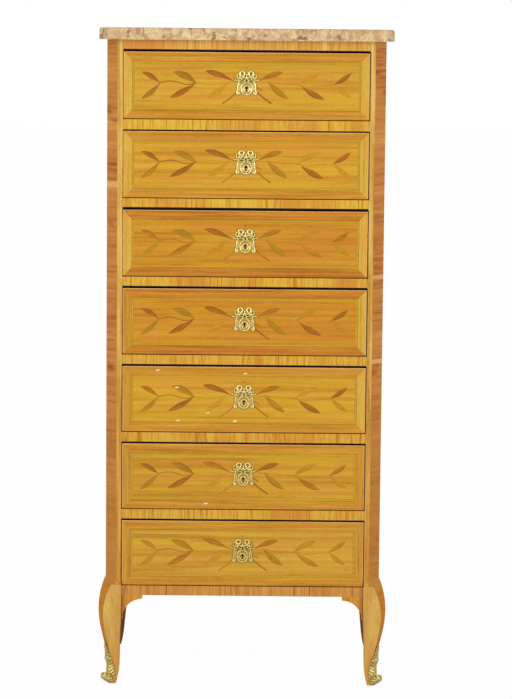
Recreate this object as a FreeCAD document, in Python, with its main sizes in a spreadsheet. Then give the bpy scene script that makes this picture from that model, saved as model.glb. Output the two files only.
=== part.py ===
"""Semainier: a tall chest of seven drawers on cabriole legs under a marble top.

Millimetres, +Z up, the front faces -Y.  The origin is on the floor, at the centre of the marble's outline.
Every size comes from the spreadsheet "sizes"; the pieces are bound to its cells by expressions.
"""
import FreeCAD, Part
import math
import os

import Sketcher

DRAWER_COUNT = 7
TAIL_COUNT = 4                    # dovetails at the front of each drawer side

SIZES = {
    # carcass
    "carcass_width": 606,
    "carcass_depth": 360,
    "leg_clearance": 201.4,       # floor to the underside of the case
    "bottom_rail_height": 21.6,
    "rail_height": 22,
    "top_rail_height": 22.5,
    "rail_depth": 48,
    "post_width": 36,
    "post_cant": 24,              # canted front corner, measured along each face
    "rear_post_depth": 30,
    "side_thickness": 16,
    "back_thickness": 10,
    "back_lap": 9,                # how far the back laps on to each rear post
    "tongue_thickness": 8,
    "tongue_length": 8,
    "tenon_length": 12,
    "tenon_height": 10,
    "tenon_depth": 16,
    "tenon_setback": 14,          # tenon's front face behind the rail's front face
    "top_board_thickness": 12,
    "bottom_board_thickness": 8,
    "bottom_board_drop": 12,      # below the lowest runners' top
    # marble slab
    "marble_thickness": 26,
    "overhang_front": 16,
    "overhang_side": 16,
    "overhang_back": 4,
    "marble_cant": 18.5,
    "marble_round": 6,
    # ears under the bottom rail and side panels
    "ear_radius": 44,
    "ear_drop": 8.6,
    "ear_flat": 2,
    "ear_thickness": 16,
    # front legs: how far each station stands out of the case, and in from the post's inner face
    "head_rise": 38.6,            # the leg's head above the underside of the case
    "shoulder_rise": 12.6,
    "shoulder_out": 9.4,
    "shoulder_cant": 17,
    "knee_drop": 23.4,            # the knee below the underside of the case
    "knee_out": 14,
    "knee_cant": 11.5,
    "calf_height": 108,
    "calf_out": 5,
    "calf_in": 3.5,
    "calf_cant": 7.5,
    "ankle_height": 42,
    "ankle_out": -7,
    "ankle_in": 5,
    "ankle_cant": 6,
    "foot_out": -5,
    "foot_in": 12,
    "foot_cant": 6,
    "rear_calf_in": 6,
    "rear_ankle_in": 12.5,
    "rear_foot_out": -1,
    "rear_foot_in": 19.5,
    "rear_foot_taper": 6,         # how much thinner the rear foot is, front to back
    # drawers
    "drawer_height": 145,
    "gap_above": 3.4,
    "gap_below": 1.1,
    "gap_side": 1,
    "run_clearance": 0.3,
    "front_thickness": 20,
    "drawer_back_gap": 5,         # behind the drawer sides, to the rear posts
    "drawer_side_height": 138,
    "drawer_side_thickness": 10,
    "drawer_back_thickness": 8,
    "drawer_back_inset": 4,
    "back_housing": 4,
    "drawer_bottom_thickness": 6,
    "drawer_bottom_raise": 6,
    "bottom_groove": 5,
    "tail_length": 14,
    "tail_height": 19,
    "tail_flare": 2.5,
    # runners, guides and stops
    "runner_width": 35,
    "runner_height": 18,
    "guide_height": 16,
    "stop_width": 40,
    "stop_depth": 24,
    "stop_height": 3.5,
    "stop_spread": 150,           # centre line to the middle of each stop
    # lock
    "lock_width": 56,
    "lock_height": 92,
    "lock_depth": 10,
    "lock_wall": 1.5,
    "selvedge_width": 70,
    "selvedge_thickness": 2,
    "key_drop": 76.5,             # keyhole's centre below the drawer front's top edge
    "bolt_width": 22,
    "bolt_length": 64,
    "bolt_sink": 0.5,             # drawn bolt below the drawer front's top edge
    "bolt_play": 0.3,
    "bolt_socket_depth": 9,
    "bolt_socket_play": 1.5,
    "lock_screw_radius": 1.3,
    "lock_screw_length": 12,
    "lock_screw_head_radius": 2.4,
    "lock_screw_head_height": 1.2,
    "keyhole_radius": 2.6,
    "keyhole_slot_width": 2.4,
    "keyhole_slot_drop": 7.5,     # centre of the round part to the slot's foot
    # escutcheon
    "escutcheon_half_width": 27,
    "escutcheon_rise": 30,        # keyhole's centre to the top of the plate
    "escutcheon_drop": 15.5,      # keyhole's centre to the bottom of the plate
    "escutcheon_thickness": 2.2,
    "boss_radius": 10,
    "boss_thickness": 3.2,
    "bow_radius": 7.4,
    "bow_bore": 2.8,
    "bow_spread": 9.6,
    "bow_rise": 31,
    "bow_thickness": 3,
    "scroll_radius": 4.4,
    "scroll_spread": 18.2,
    "scroll_fall": 9.6,
    "scroll_thickness": 3.8,
    "pin_radius": 0.8,
    "pin_length": 7,
    "pin_head_radius": 1.6,
    "pin_head_height": 1,
    "upper_pin_rise": 24,
    "lower_pin_drop": 12.4,
    # sabots
    "sabot_wall": 5,
    "sabot_height": 92,
    "sabot_tip_height": 84,
    "sabot_tip_half_width": 2.5,
    "sabot_waist_height": 60,
    "sabot_waist_half_width": 7,
    "sabot_skirt_height": 38,
    "sabot_skirt_half_width": 11.5,
    "toe_radius": 7.5,
    "toe_length": 20,
    "toe_bite": 4,                # how deep the toe's roll sits in the shell
    "toe_height": 12.5,
    "sabot_pin_length": 14,
}

doc = FreeCAD.newDocument("semainier")


class Size:
    """A length as a number of millimetres together with the spreadsheet expression that gives it."""

    def __init__(self, value, text):
        self.value = float(value)
        self.text = text

    @staticmethod
    def of(other):
        return other if isinstance(other, Size) else Size(other, repr(other))

    def combine(self, sign, other, value):
        return Size(value, f"({self.text} {sign} {other.text})")

    def __add__(self, other):
        other = Size.of(other)
        return self.combine("+", other, self.value + other.value)

    def __sub__(self, other):
        other = Size.of(other)
        return self.combine("-", other, self.value - other.value)

    def __mul__(self, other):
        other = Size.of(other)
        return self.combine("*", other, self.value * other.value)

    def __truediv__(self, other):
        other = Size.of(other)
        return self.combine("/", other, self.value / other.value)

    def __neg__(self):
        return self * -1

    def __radd__(self, other):
        return Size.of(other) + self

    def __rsub__(self, other):
        return Size.of(other) - self

    def __rmul__(self, other):
        return self * other


class Sizes:
    """The cells of the spreadsheet as attributes."""

    def __init__(self, cells):
        sheet = doc.addObject("Spreadsheet::Sheet", "sizes")
        for row, (alias, value) in enumerate(cells.items(), 1):
            sheet.set(f"A{row}", str(value))
            sheet.setAlias(f"A{row}", alias)
            setattr(self, alias, Size(value, f"sizes.{alias}"))


s = Sizes(SIZES)
doc.recompute()
subparts = []


# ---- helpers: bound objects of the document -------------------------------------------------------------


def bind(item, prop, length):
    item.setExpression(prop, Size.of(length).text)


def place(item, **base):
    for axis, length in base.items():
        bind(item, f"Placement.Base.{axis}", length)
    return item


def box(name, x, y, z):
    """A board between a low and a high limit along each axis."""
    board = doc.addObject("Part::Box", name)
    for prop, (low, high) in zip(("Length", "Width", "Height"), (x, y, z)):
        bind(board, prop, high - low)
    return place(board, x=x[0], y=y[0], z=z[0])


def rod(name, radius, length, rotation=None):
    """A cylinder along +Z, or turned by the given rotation."""
    bar = doc.addObject("Part::Cylinder", name)
    bind(bar, "Radius", radius)
    bind(bar, "Height", length)
    if rotation:
        bar.Placement = FreeCAD.Placement(FreeCAD.Vector(), rotation)
    return bar


def headed_pin(name, shank, head, out, x=0, y=0, z=0, sunk=False):
    """A round shank and a wider head, each (radius, length); it leaves the surface at x, y, z along out."""
    turn = FreeCAD.Rotation(FreeCAD.Vector(0, 0, 1), out)
    bars = []
    head_start = -head[1] if sunk else 0
    for part, (radius, length), start in (("shank", shank, -shank[1]), ("head", head, head_start)):
        bar = rod(f"{name}_{part}", radius, length, turn)
        bars.append(place(bar, x=x + start * out.x, y=y + start * out.y, z=z + start * out.z))
    return fuse(name, *bars)


def fuse(name, *pieces):
    whole = doc.addObject("Part::MultiFuse", name)
    whole.Shapes = list(pieces)
    return whole


def cut(name, base, *tools):
    rest = doc.addObject("Part::Cut", name)
    rest.Base = base
    rest.Tool = tools[0] if len(tools) == 1 else fuse(name + "_cutters", *tools)
    return rest


def mirror(name, source):
    """The same piece on the other side of the centre line."""
    twin = doc.addObject("Part::Mirroring", name)
    twin.Source = source
    twin.Normal = FreeCAD.Vector(1, 0, 0)
    return twin


def group(name, *pieces):
    together = doc.addObject("Part::Compound", name)
    together.Links = list(pieces)
    return together


def copy_at(name, source, rise):
    """Another of the same piece, higher by rise."""
    return place(group(name, source), z=rise)


def subpart(item, label=None):
    """Marks an object as one of the pieces that are written out."""
    item.Label = label or item.Name
    subparts.append(item)
    return item


def both_sides(low, high):
    """A range of x on the right, and the same range on the left."""
    return (low, high), (-high, -low)


def sketch_on(body, role, name, offset=0):
    """An empty sketch on one of a body's origin planes, moved along the plane's normal."""
    plane = next(f for f in body.Origin.OriginFeatures if f.Role == role)
    sketch = body.newObject("Sketcher::SketchObject", name)
    sketch.AttachmentSupport = [(plane, "")]
    sketch.MapMode = "FlatFace"
    bind(sketch, "AttachmentOffset.Base.z", offset)
    return sketch


def fix_point(sketch, geo, end, point):
    """Holds one end of a line at a point given by two sizes."""
    for kind, axis_line, length in (("DistanceX", -2, point[0]), ("DistanceY", -1, point[1])):
        length = Size.of(length)
        if "sizes." not in length.text and length.value == 0:
            sketch.addConstraint(Sketcher.Constraint("PointOnObject", geo, end, axis_line))
            continue
        index = sketch.addConstraint(Sketcher.Constraint(kind, -1, 1, geo, end, length.value))
        bind(sketch, f"Constraints[{index}]", length)


def polygon(sketch, points):
    """A closed outline of straight lines through points given by sizes."""
    spots = [FreeCAD.Vector(Size.of(u).value, Size.of(v).value, 0) for u, v in points]
    first = None
    for i, spot in enumerate(spots):
        geo = sketch.addGeometry(Part.LineSegment(spot, spots[(i + 1) % len(spots)]))
        first = geo if first is None else first
    last = first + len(spots) - 1
    for i in range(len(spots)):
        geo = first + i
        follower = first if geo == last else geo + 1
        sketch.addConstraint(Sketcher.Constraint("Coincident", geo, 2, follower, 1))
        fix_point(sketch, geo, 1, points[i])
    return sketch


def circle(sketch, centre, radius):
    spot = FreeCAD.Vector(Size.of(centre[0]).value, Size.of(centre[1]).value, 0)
    geo = sketch.addGeometry(Part.Circle(spot, FreeCAD.Vector(0, 0, 1), radius.value))
    fix_point(sketch, geo, 3, centre)
    index = sketch.addConstraint(Sketcher.Constraint("Radius", geo, radius.value))
    bind(sketch, f"Constraints[{index}]", radius)
    return sketch


def pad(body, name, sketch, length):
    feature = body.newObject("PartDesign::Pad", name)
    feature.Profile = sketch
    bind(feature, "Length", length)
    return feature


def new_body(name):
    return doc.addObject("PartDesign::Body", name)


# ---- the case's main lines ------------------------------------------------------------------------------

half_width = s.carcass_width / 2
inner_x = half_width - s.post_width                     # the posts' inner faces
panel_x = half_width - s.side_thickness                 # the side panels' inner faces
slab_depth = s.carcass_depth + s.overhang_front + s.overhang_back
y_front = s.overhang_front - slab_depth / 2
y_back = y_front + s.carcass_depth
y_post = y_front + s.post_width                         # back of the front posts
y_rail = y_front + s.rail_depth                         # back of the rails
y_rear_post = y_back - s.rear_post_depth                # front of the rear posts
y_panel = y_back - s.back_thickness                     # front of the back panel

head_height = s.leg_clearance + s.head_rise
shoulder_height = s.leg_clearance + s.shoulder_rise
knee_height = s.leg_clearance - s.knee_drop

opening = s.drawer_height + s.gap_above + s.gap_below
pitch = opening + s.rail_height
first_floor = s.leg_clearance + s.bottom_rail_height    # what the lowest drawer runs on
top_rail_foot = first_floor + pitch * DRAWER_COUNT - s.rail_height
case_top = top_rail_foot + s.top_rail_height

UP = FreeCAD.Vector(0, 0, 1)
TO_FRONT = FreeCAD.Vector(0, -1, 0)
TO_CORNER = FreeCAD.Vector(-1, -1, 0).normalize()        # out of the front left corner
ACROSS_CORNER = FreeCAD.Vector(1, -1, 0).normalize()
TURN_TO_FRONT = FreeCAD.Rotation(UP, TO_FRONT)
TURN_TO_SIDE = FreeCAD.Rotation(UP, FreeCAD.Vector(1, 0, 0))
PIN_HEAD = (s.pin_head_radius, s.pin_head_height)


# ---- marble top -----------------------------------------------------------------------------------------


def make_marble_top():
    """The slab: canted front corners, the upper edge rounded except along the wall."""
    side = half_width + s.overhang_side
    front = y_front - s.overhang_front
    back = y_back + s.overhang_back
    body = new_body("slab")
    outline = sketch_on(body, "XY_Plane", "slab_outline", case_top)
    polygon(outline, [
        (-side, back), (-side, front + s.marble_cant), (-side + s.marble_cant, front),
        (side - s.marble_cant, front), (side, front + s.marble_cant), (side, back),
    ])
    slab = pad(body, "slab_pad", outline, s.marble_thickness)
    doc.recompute()
    height = (case_top + s.marble_thickness).value
    rounded = []
    for index, edge in enumerate(slab.Shape.Edges, 1):
        spots = [v.Point for v in edge.Vertexes]
        on_top = all(abs(p.z - height) < 0.01 for p in spots)
        at_wall = all(abs(p.y - back.value) < 0.01 for p in spots)
        if on_top and not at_wall:
            rounded.append(f"Edge{index}")
    fillet = body.newObject("PartDesign::Fillet", "slab_round")
    fillet.Base = (slab, rounded)
    bind(fillet, "Radius", s.marble_round)
    subpart(body, "marble_top")


# ---- legs and posts -------------------------------------------------------------------------------------


def corner_section(out, inward, cant):
    """Section of the front left leg: a square with its outer corner canted, symmetric about the diagonal."""
    outer = half_width + out
    inner = inner_x + inward
    outer_y = y_front - out
    inner_y = y_post - inward
    return [
        (-inner, inner_y), (-inner, outer_y), (-outer + cant, outer_y),
        (-outer, outer_y + cant), (-outer, inner_y),
    ]


def leg_stations(wall=0):
    """(name, height, section) down the front left leg, grown outwards by wall."""
    growth = wall * (2 - math.sqrt(2))
    rows = [
        ("head", head_height, 0, 0, s.post_cant),
        ("shoulder", shoulder_height, s.shoulder_out, 0, s.shoulder_cant),
        ("knee", knee_height, s.knee_out, 0, s.knee_cant),
        ("calf", s.calf_height, s.calf_out, s.calf_in, s.calf_cant),
        ("ankle", s.ankle_height, s.ankle_out, s.ankle_in, s.ankle_cant),
        ("foot", Size.of(0), s.foot_out, s.foot_in, s.foot_cant),
    ]
    return [
        (name, z, corner_section(out + wall, inward, cant + growth))
        for name, z, out, inward, cant in rows
    ]


def loft(body, name, stations):
    """Adds a smooth solid through sections at given heights."""
    sketches = [
        polygon(sketch_on(body, "XY_Plane", f"{name}_{station}", height), section)
        for station, height, section in stations
    ]
    feature = body.newObject("PartDesign::AdditiveLoft", name)
    feature.Profile = sketches[0]
    feature.Sections = sketches[1:]
    return feature


def make_front_leg():
    """Post and cabriole leg of the front left corner, from one timber."""
    body = new_body("front_leg_blank")
    stations = leg_stations()
    post = polygon(sketch_on(body, "XY_Plane", "post_outline", head_height), stations[0][2])
    pad(body, "post_pad", post, case_top - head_height)
    loft(body, "cabriole", stations)
    return body


def make_rear_leg():
    """Post and leg of the rear left corner: curved sideways only, flat against the wall."""

    def section(out, inward, taper):
        outer = half_width + out
        inner = inner_x + inward
        front = y_rear_post + taper
        return [(-inner, y_back), (-outer, y_back), (-outer, front), (-inner, front)]

    body = new_body("rear_leg_blank")
    stations = [
        ("head", head_height, section(0, 0, 0)),
        ("shoulder", shoulder_height, section(s.shoulder_out, 0, 0)),
        ("knee", knee_height, section(s.knee_out, 0, 0)),
        ("calf", s.calf_height, section(s.calf_out, s.rear_calf_in, s.rear_foot_taper / 2)),
        ("ankle", s.ankle_height, section(s.ankle_out, s.rear_ankle_in, s.rear_foot_taper)),
        ("foot", Size.of(0), section(s.rear_foot_out, s.rear_foot_in, s.rear_foot_taper)),
    ]
    post = polygon(sketch_on(body, "XY_Plane", "rear_post_outline", head_height), stations[0][2])
    pad(body, "rear_post_pad", post, case_top - head_height)
    loft(body, "rear_cabriole", stations)
    return body


# ---- rails, ears, panels and boards ---------------------------------------------------------------------


def tenons(name, foot, height):
    """A stub tenon on each end of a rail, centred in the rail's height."""
    low = foot + (height - s.tenon_height) / 2
    y = (y_front + s.tenon_setback, y_front + s.tenon_setback + s.tenon_depth)
    ends = both_sides(inner_x, inner_x + s.tenon_length)
    return [box(f"{name}_tenon{i}", x, y, (low, low + s.tenon_height)) for i, x in enumerate(ends)]


def bolt_socket(name, foot):
    """The mortise in a rail's underside that takes the bolt of the drawer below."""
    back = y_front + s.front_thickness + s.bolt_socket_play
    return box(
        name,
        (-s.bolt_width / 2 - s.bolt_socket_play, s.bolt_width / 2 + s.bolt_socket_play),
        (back - s.lock_depth - s.bolt_socket_play * 2, back),
        (foot, foot + s.bolt_socket_depth),
    )


def make_rail(name, foot, height, with_socket=True):
    """A rail between the front posts, flush with their front."""
    bar = box(f"{name}_bar", (-inner_x, inner_x), (y_front, y_rail), (foot, foot + height))
    whole = fuse(f"{name}_tenoned", bar, *tenons(name, foot, height))
    return cut(name, whole, bolt_socket(f"{name}_socket", foot)) if with_socket else whole


def make_ears(*legs):
    """Quarter-round ears glued under the bottom rail and the side panels, fitted against the legs."""
    foot = s.leg_clearance - s.ear_drop - s.ear_radius
    width = s.ear_radius + s.ear_flat

    def ear(name, x, y, turn, scoop_x, scoop_y):
        block = box(f"{name}_block", x, y, (foot, s.leg_clearance))
        scoop = rod(f"{name}_scoop", s.ear_radius, s.ear_thickness, turn)
        return cut(name, block, place(scoop, x=scoop_x, y=scoop_y, z=foot), *legs)

    tip_x = width - inner_x
    front_y = (y_front, y_front + s.ear_thickness)
    side_x = (-half_width, s.ear_thickness - half_width)
    near_y = (y_post, y_post + width)
    far_y = (y_rear_post - width, y_rear_post)
    ears = [
        ear("front_ear", (-inner_x, tip_x), front_y, TURN_TO_FRONT, tip_x, front_y[1]),
        ear("near_ear", side_x, near_y, TURN_TO_SIDE, -half_width, near_y[1]),
        ear("far_ear", side_x, far_y, TURN_TO_SIDE, -half_width, far_y[0]),
    ]
    twins = [mirror(f"{left.Name}_twin", left) for left in ears]
    subpart(group("corner_ears", *ears, *twins))


def make_side_panel():
    """The left side: a board tongued into both posts."""
    z = (s.leg_clearance, case_top)
    middle = s.side_thickness / 2
    board = box("side_board", (-half_width, -panel_x), (y_post, y_rear_post), z)
    tongue_x = (middle - s.tongue_thickness / 2 - half_width, middle + s.tongue_thickness / 2 - half_width)
    tongue = box("side_tongue", tongue_x, (y_post - s.tongue_length, y_rear_post + s.tongue_length), z)
    return fuse("left_panel", board, tongue)


def make_frame(shoe_pin):
    """Legs, rails, panels and ears; gives the left front leg and both rear ones."""
    top_rail = subpart(make_rail("top_rail", top_rail_foot, s.top_rail_height))
    bottom_rail = make_rail("lowest_rail", s.leg_clearance, s.bottom_rail_height, with_socket=False)
    subpart(bottom_rail, "bottom_rail")
    rail = make_rail("rail", first_floor + opening, s.rail_height)
    copies = [copy_at(f"rail_{i + 1}", rail, pitch * i) for i in range(DRAWER_COUNT - 1)]
    drawer_rails = subpart(group("drawer_rails", *copies))

    side = make_side_panel()
    back_half = inner_x + s.back_lap
    back = box("back_panel", (-back_half, back_half), (y_panel, y_back), (s.leg_clearance, case_top))
    front_leg = cut("front_left_leg", make_front_leg(), top_rail, bottom_rail, drawer_rails, side, shoe_pin)
    rear_leg = cut("rear_left_leg", make_rear_leg(), side, back)
    subpart(front_leg)
    subpart(rear_leg)
    subpart(mirror("front_right_leg", front_leg))
    rear_twin = subpart(mirror("rear_right_leg", rear_leg))
    subpart(side, "left_side_panel")
    subpart(mirror("right_side_panel", side))
    subpart(back)
    make_ears(front_leg, rear_leg)
    return front_leg, rear_leg, rear_twin


def make_inner_boards(*rear_legs):
    """Boards above and below the drawers, and what guides and stops each drawer."""
    top_z = (case_top - s.top_board_thickness, case_top)
    ceiling = box("top_boarding", (-panel_x, panel_x), (y_rail, y_panel), top_z)
    subpart(cut("top_board", ceiling, *rear_legs))
    runner_x = panel_x - s.runner_width
    board_foot = first_floor - s.bottom_board_drop - s.bottom_board_thickness
    board_z = (board_foot, board_foot + s.bottom_board_thickness)
    subpart(box("bottom_board", (-runner_x, runner_x), (y_rail, y_panel), board_z))

    stop_x = s.stop_spread - s.stop_width / 2
    stop_y = y_front + s.front_thickness + s.run_clearance
    runners = []
    guides = []
    stops = []
    for i in range(DRAWER_COUNT):
        floor = first_floor + pitch * i
        runner_z = (floor - s.runner_height, floor)
        for hand, x in zip("rl", both_sides(runner_x, panel_x)):
            runners.append(box(f"runner_{i}{hand}", x, (y_rail, y_rear_post), runner_z))
        guide_z = (floor, floor + s.guide_height)
        for hand, x in zip("rl", both_sides(inner_x, panel_x)):
            guides.append(box(f"guide_{i}{hand}", x, (y_post, y_rear_post), guide_z))
        stop_z = (floor, floor + s.stop_height)
        for hand, x in zip("rl", both_sides(stop_x, stop_x + s.stop_width)):
            stops.append(box(f"stop_{i}{hand}", x, (stop_y, stop_y + s.stop_depth), stop_z))
    subpart(cut("drawer_runners", group("runner_set", *runners), *rear_legs))
    subpart(group("drawer_guides", *guides))
    subpart(group("drawer_stops", *stops))


# ---- sabots ---------------------------------------------------------------------------------------------


def make_shoe_pin():
    """The pin that holds a shoe, driven square to the leg's canted face at the ankle."""
    face = half_width + s.ankle_out - s.ankle_cant / 2 - s.sabot_wall * TO_CORNER.x
    shank = (s.pin_radius, s.sabot_pin_length)
    y = y_front + half_width - face
    return headed_pin("shoe_pin", shank, PIN_HEAD, TO_CORNER, x=-face, y=y, z=s.ankle_height)


def make_sabots(front_leg, shoe_pin):
    """Cast shoes: a pointed leaf up the canted corner of each front foot, over a rolled toe."""
    body = new_body("sabot_blank")
    loft(body, "sabot_shell", leg_stations(s.sabot_wall))

    leaf = doc.addObject("Sketcher::SketchObject", "sabot_leaf")
    facing_out = FreeCAD.Rotation(ACROSS_CORNER, UP, TO_CORNER, "ZXY")
    leaf.Placement = FreeCAD.Placement(FreeCAD.Vector(), facing_out)
    place(leaf, x=s.post_width / 2 - half_width, y=y_post - s.post_width / 2)
    edge = [
        (s.sabot_tip_half_width, s.sabot_tip_height),
        (s.sabot_waist_half_width, s.sabot_waist_height),
        (s.sabot_skirt_half_width, s.sabot_skirt_height),
        (s.sabot_skirt_half_width, Size.of(0)),
    ]
    polygon(leaf, [(0, s.sabot_height), *edge, *[(-u, v) for u, v in reversed(edge)]])
    prism = doc.addObject("Part::Extrusion", "sabot_prism")
    prism.Base = leaf
    prism.DirMode = "Normal"
    prism.Solid = True
    bind(prism, "LengthFwd", s.post_width * 2)
    shell = doc.addObject("Part::Common", "sabot_shape")
    shell.Base = body
    shell.Tool = prism

    toe = rod("toe_roll", s.toe_radius, s.toe_length, FreeCAD.Rotation(UP, ACROSS_CORNER))
    shell_face = half_width + s.foot_out - s.foot_cant / 2 - s.sabot_wall * TO_CORNER.x
    reach = shell_face - (s.toe_radius - s.toe_bite) * TO_CORNER.x
    half_toe = s.toe_length / 2 * ACROSS_CORNER.x
    place(toe, x=-reach - half_toe, y=y_front + half_width - reach + half_toe, z=s.toe_height)
    cast = cut("sabot", fuse("sabot_with_toe", shell, toe), front_leg, shoe_pin)
    left = group("left_sabot", cast, shoe_pin)
    subpart(group("front_sabots", left, mirror("right_sabot", left)))


# ---- one drawer, made on the lowest floor ---------------------------------------------------------------

drawer_x = inner_x - s.gap_side                          # outer faces of a drawer
drawer_inner_x = drawer_x - s.drawer_side_thickness
y_inside = y_front + s.front_thickness                   # back face of a drawer front
y_end = y_rear_post - s.drawer_back_gap                  # back end of the drawer sides
side_foot = first_floor + s.run_clearance
front_foot = first_floor + s.gap_below
front_top = front_foot + s.drawer_height
key_height = front_top - s.key_drop


def keyhole(name, y_low, y_high):
    """A round hole with a slot below it, cut through a range of y."""
    depth = y_high - y_low
    barrel = place(rod(f"{name}_round", s.keyhole_radius, depth, TURN_TO_FRONT), y=y_high, z=key_height)
    slot = box(f"{name}_slot", (-s.keyhole_slot_width / 2, s.keyhole_slot_width / 2), (y_low, y_high),
               (key_height - s.keyhole_slot_drop, key_height))
    return fuse(name, barrel, slot)


def make_drawer_sides():
    """Side boards with dovetails that lap into the front; the right one is the left one's mirror."""
    body = new_body("side_blank")
    outline = sketch_on(body, "YZ_Plane", "side_outline", -drawer_x)
    step = s.drawer_side_height / TAIL_COUNT
    points = [(y_inside, side_foot)]
    for i in range(TAIL_COUNT):
        middle = side_foot + step * (i + 0.5)
        root = s.tail_height / 2
        tip = root + s.tail_flare
        points += [
            (y_inside, middle - root), (y_inside - s.tail_length, middle - tip),
            (y_inside - s.tail_length, middle + tip), (y_inside, middle + root),
        ]
    roof = side_foot + s.drawer_side_height
    points += [(y_inside, roof), (y_end, roof), (y_end, side_foot)]
    polygon(outline, points)
    pad(body, "side_pad", outline, s.drawer_side_thickness)
    return body


def make_lock():
    """Lock case let into the back of the front, with its keyhole, its bolt's way and its two screws."""
    top = front_top - s.selvedge_thickness
    y = (y_inside - s.lock_depth, y_inside)
    case = box("lock_case", (-s.lock_width / 2, s.lock_width / 2), y, (top - s.lock_height, top))
    selvedge = box("lock_selvedge", (-s.selvedge_width / 2, s.selvedge_width / 2), y, (top, front_top))
    blank = fuse("lock_blank", case, selvedge)
    wall = s.lock_wall
    hollow = box("lock_hollow", (-s.lock_width / 2 + wall, s.lock_width / 2 - wall),
                 (y[0] + wall, y[1] - wall), (top - s.lock_height + wall, top - wall))
    half_way = s.bolt_width / 2 + s.bolt_play
    way = box("lock_bolt_way", (-half_way, half_way), (y[0] + wall, y[1] - wall), (top - wall * 2, front_top))
    shank = (s.lock_screw_radius, s.lock_screw_length)
    head = (s.lock_screw_head_radius, s.lock_screw_head_height)
    spread = (s.lock_width + s.selvedge_width) / 4
    screws = [
        headed_pin(f"lock_screw{i}", shank, head, UP, spread * side, (y[0] + y[1]) / 2, front_top, sunk=True)
        for i, side in enumerate((1, -1))
    ]
    lock = cut("lock", blank, hollow, way, keyhole("lock_keyhole", y[0], y[0] + wall), *screws)
    bolt = box("bolt", (-s.bolt_width / 2, s.bolt_width / 2),
               (y[0] + wall + s.bolt_play, y[1] - wall - s.bolt_play),
               (front_top - s.bolt_sink - s.bolt_length, front_top - s.bolt_sink))
    return blank, lock, bolt, screws


# right half of the plate: share of the half width, share of the rise or drop from the keyhole
ESCUTCHEON_OUTLINE = [
    (0.24, 0.96), (0.44, 0.84), (0.62, 0.76), (0.96, 0.66), (1.00, 0.52), (0.66, 0.48),
    (0.70, 0.18), (0.80, -0.26), (0.84, -0.66), (0.74, -0.94), (0.55, -0.90), (0.45, -0.66),
    (0.30, -0.90),
]


def make_escutcheon():
    """Ribbon-tied escutcheon: pierced bow, oval boss round the keyhole, scrolled feet, two pins."""

    def at(across, up):
        span = s.escutcheon_rise if up > 0 else s.escutcheon_drop
        return s.escutcheon_half_width * across, key_height + span * up

    body = new_body("escutcheon_blank")
    right = [at(u, v) for u, v in ESCUTCHEON_OUTLINE]
    top = (Size.of(0), key_height + s.escutcheon_rise)
    foot = (Size.of(0), key_height - s.escutcheon_drop)
    plate = sketch_on(body, "XZ_Plane", "plate_outline", -y_front)
    polygon(plate, [top, *right, foot, *[(-u, v) for u, v in reversed(right)]])
    pad(body, "plate_pad", plate, s.escutcheon_thickness)

    boss = sketch_on(body, "XZ_Plane", "boss_outline", -y_front)
    circle(boss, (Size.of(0), key_height), s.boss_radius)
    pad(body, "boss_pad", boss, s.boss_thickness)
    bows = sketch_on(body, "XZ_Plane", "bow_outline", -y_front)
    scrolls = sketch_on(body, "XZ_Plane", "scroll_outline", -y_front)
    for side in (1, -1):
        circle(bows, (s.bow_spread * side, key_height + s.bow_rise), s.bow_radius)
        circle(scrolls, (s.scroll_spread * side, key_height - s.scroll_fall), s.scroll_radius)
    pad(body, "bow_pad", bows, s.bow_thickness)
    pad(body, "scroll_pad", scrolls, s.scroll_thickness)

    reach = s.boss_thickness * 2
    bores = []
    for i, side in enumerate((1, -1)):
        bore = rod(f"bow_bore{i}", s.bow_bore, reach, TURN_TO_FRONT)
        bores.append(place(bore, x=s.bow_spread * side, y=y_front, z=key_height + s.bow_rise))
    shank = (s.pin_radius, s.pin_length)
    face = y_front - s.escutcheon_thickness
    pins = [
        headed_pin("upper_pin", shank, PIN_HEAD, TO_FRONT, y=face, z=key_height + s.upper_pin_rise),
        headed_pin("lower_pin", shank, PIN_HEAD, TO_FRONT, y=face, z=key_height - s.lower_pin_drop),
    ]
    hole = keyhole("plate_keyhole", y_front - s.boss_thickness, y_front)
    plate_piece = cut("escutcheon_plate", body, hole, *bores, *pins)
    return plate_piece, pins


def make_drawers():
    """One set of drawer pieces, copied to every floor."""
    side = make_drawer_sides()
    panel_half = drawer_inner_x + s.bottom_groove
    bottom_foot = side_foot + s.drawer_bottom_raise
    bottom_z = (bottom_foot, bottom_foot + s.drawer_bottom_thickness)
    bottom = box("bottom", (-panel_half, panel_half), (y_inside - s.bottom_groove, y_end), bottom_z)
    back_half = drawer_inner_x + s.back_housing
    back_end = y_end - s.drawer_back_inset
    back = box("back", (-back_half, back_half), (back_end - s.drawer_back_thickness, back_end),
               (bottom_z[1], side_foot + s.drawer_side_height))
    left = cut("left_side", side, bottom, back)
    walls = group("walls", left, mirror("right_side", left), back)

    lock_blank, lock, bolt, screws = make_lock()
    escutcheon, pins = make_escutcheon()
    blank = box("front_blank", (-drawer_x, drawer_x), (y_front, y_inside), (front_foot, front_top))
    hole = keyhole("front_keyhole", y_front, y_inside)
    sides = (side, mirror("right_side_tool", side))
    front = cut("front", blank, *sides, bottom, lock_blank, hole, *pins, *screws)
    ornament = group("ornament", escutcheon, *pins)
    screwed_lock = group("screwed_lock", lock, *screws)

    for number in range(1, DRAWER_COUNT + 1):
        rise = pitch * (DRAWER_COUNT - number)
        for name, piece in (
            ("front", front), ("walls", walls), ("bottom", bottom),
            ("lock", screwed_lock), ("bolt", bolt), ("escutcheon", ornament),
        ):
            subpart(copy_at(f"drawer_{number}_{name}", piece, rise))


# ---- build, check and write -----------------------------------------------------------------------------


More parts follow.
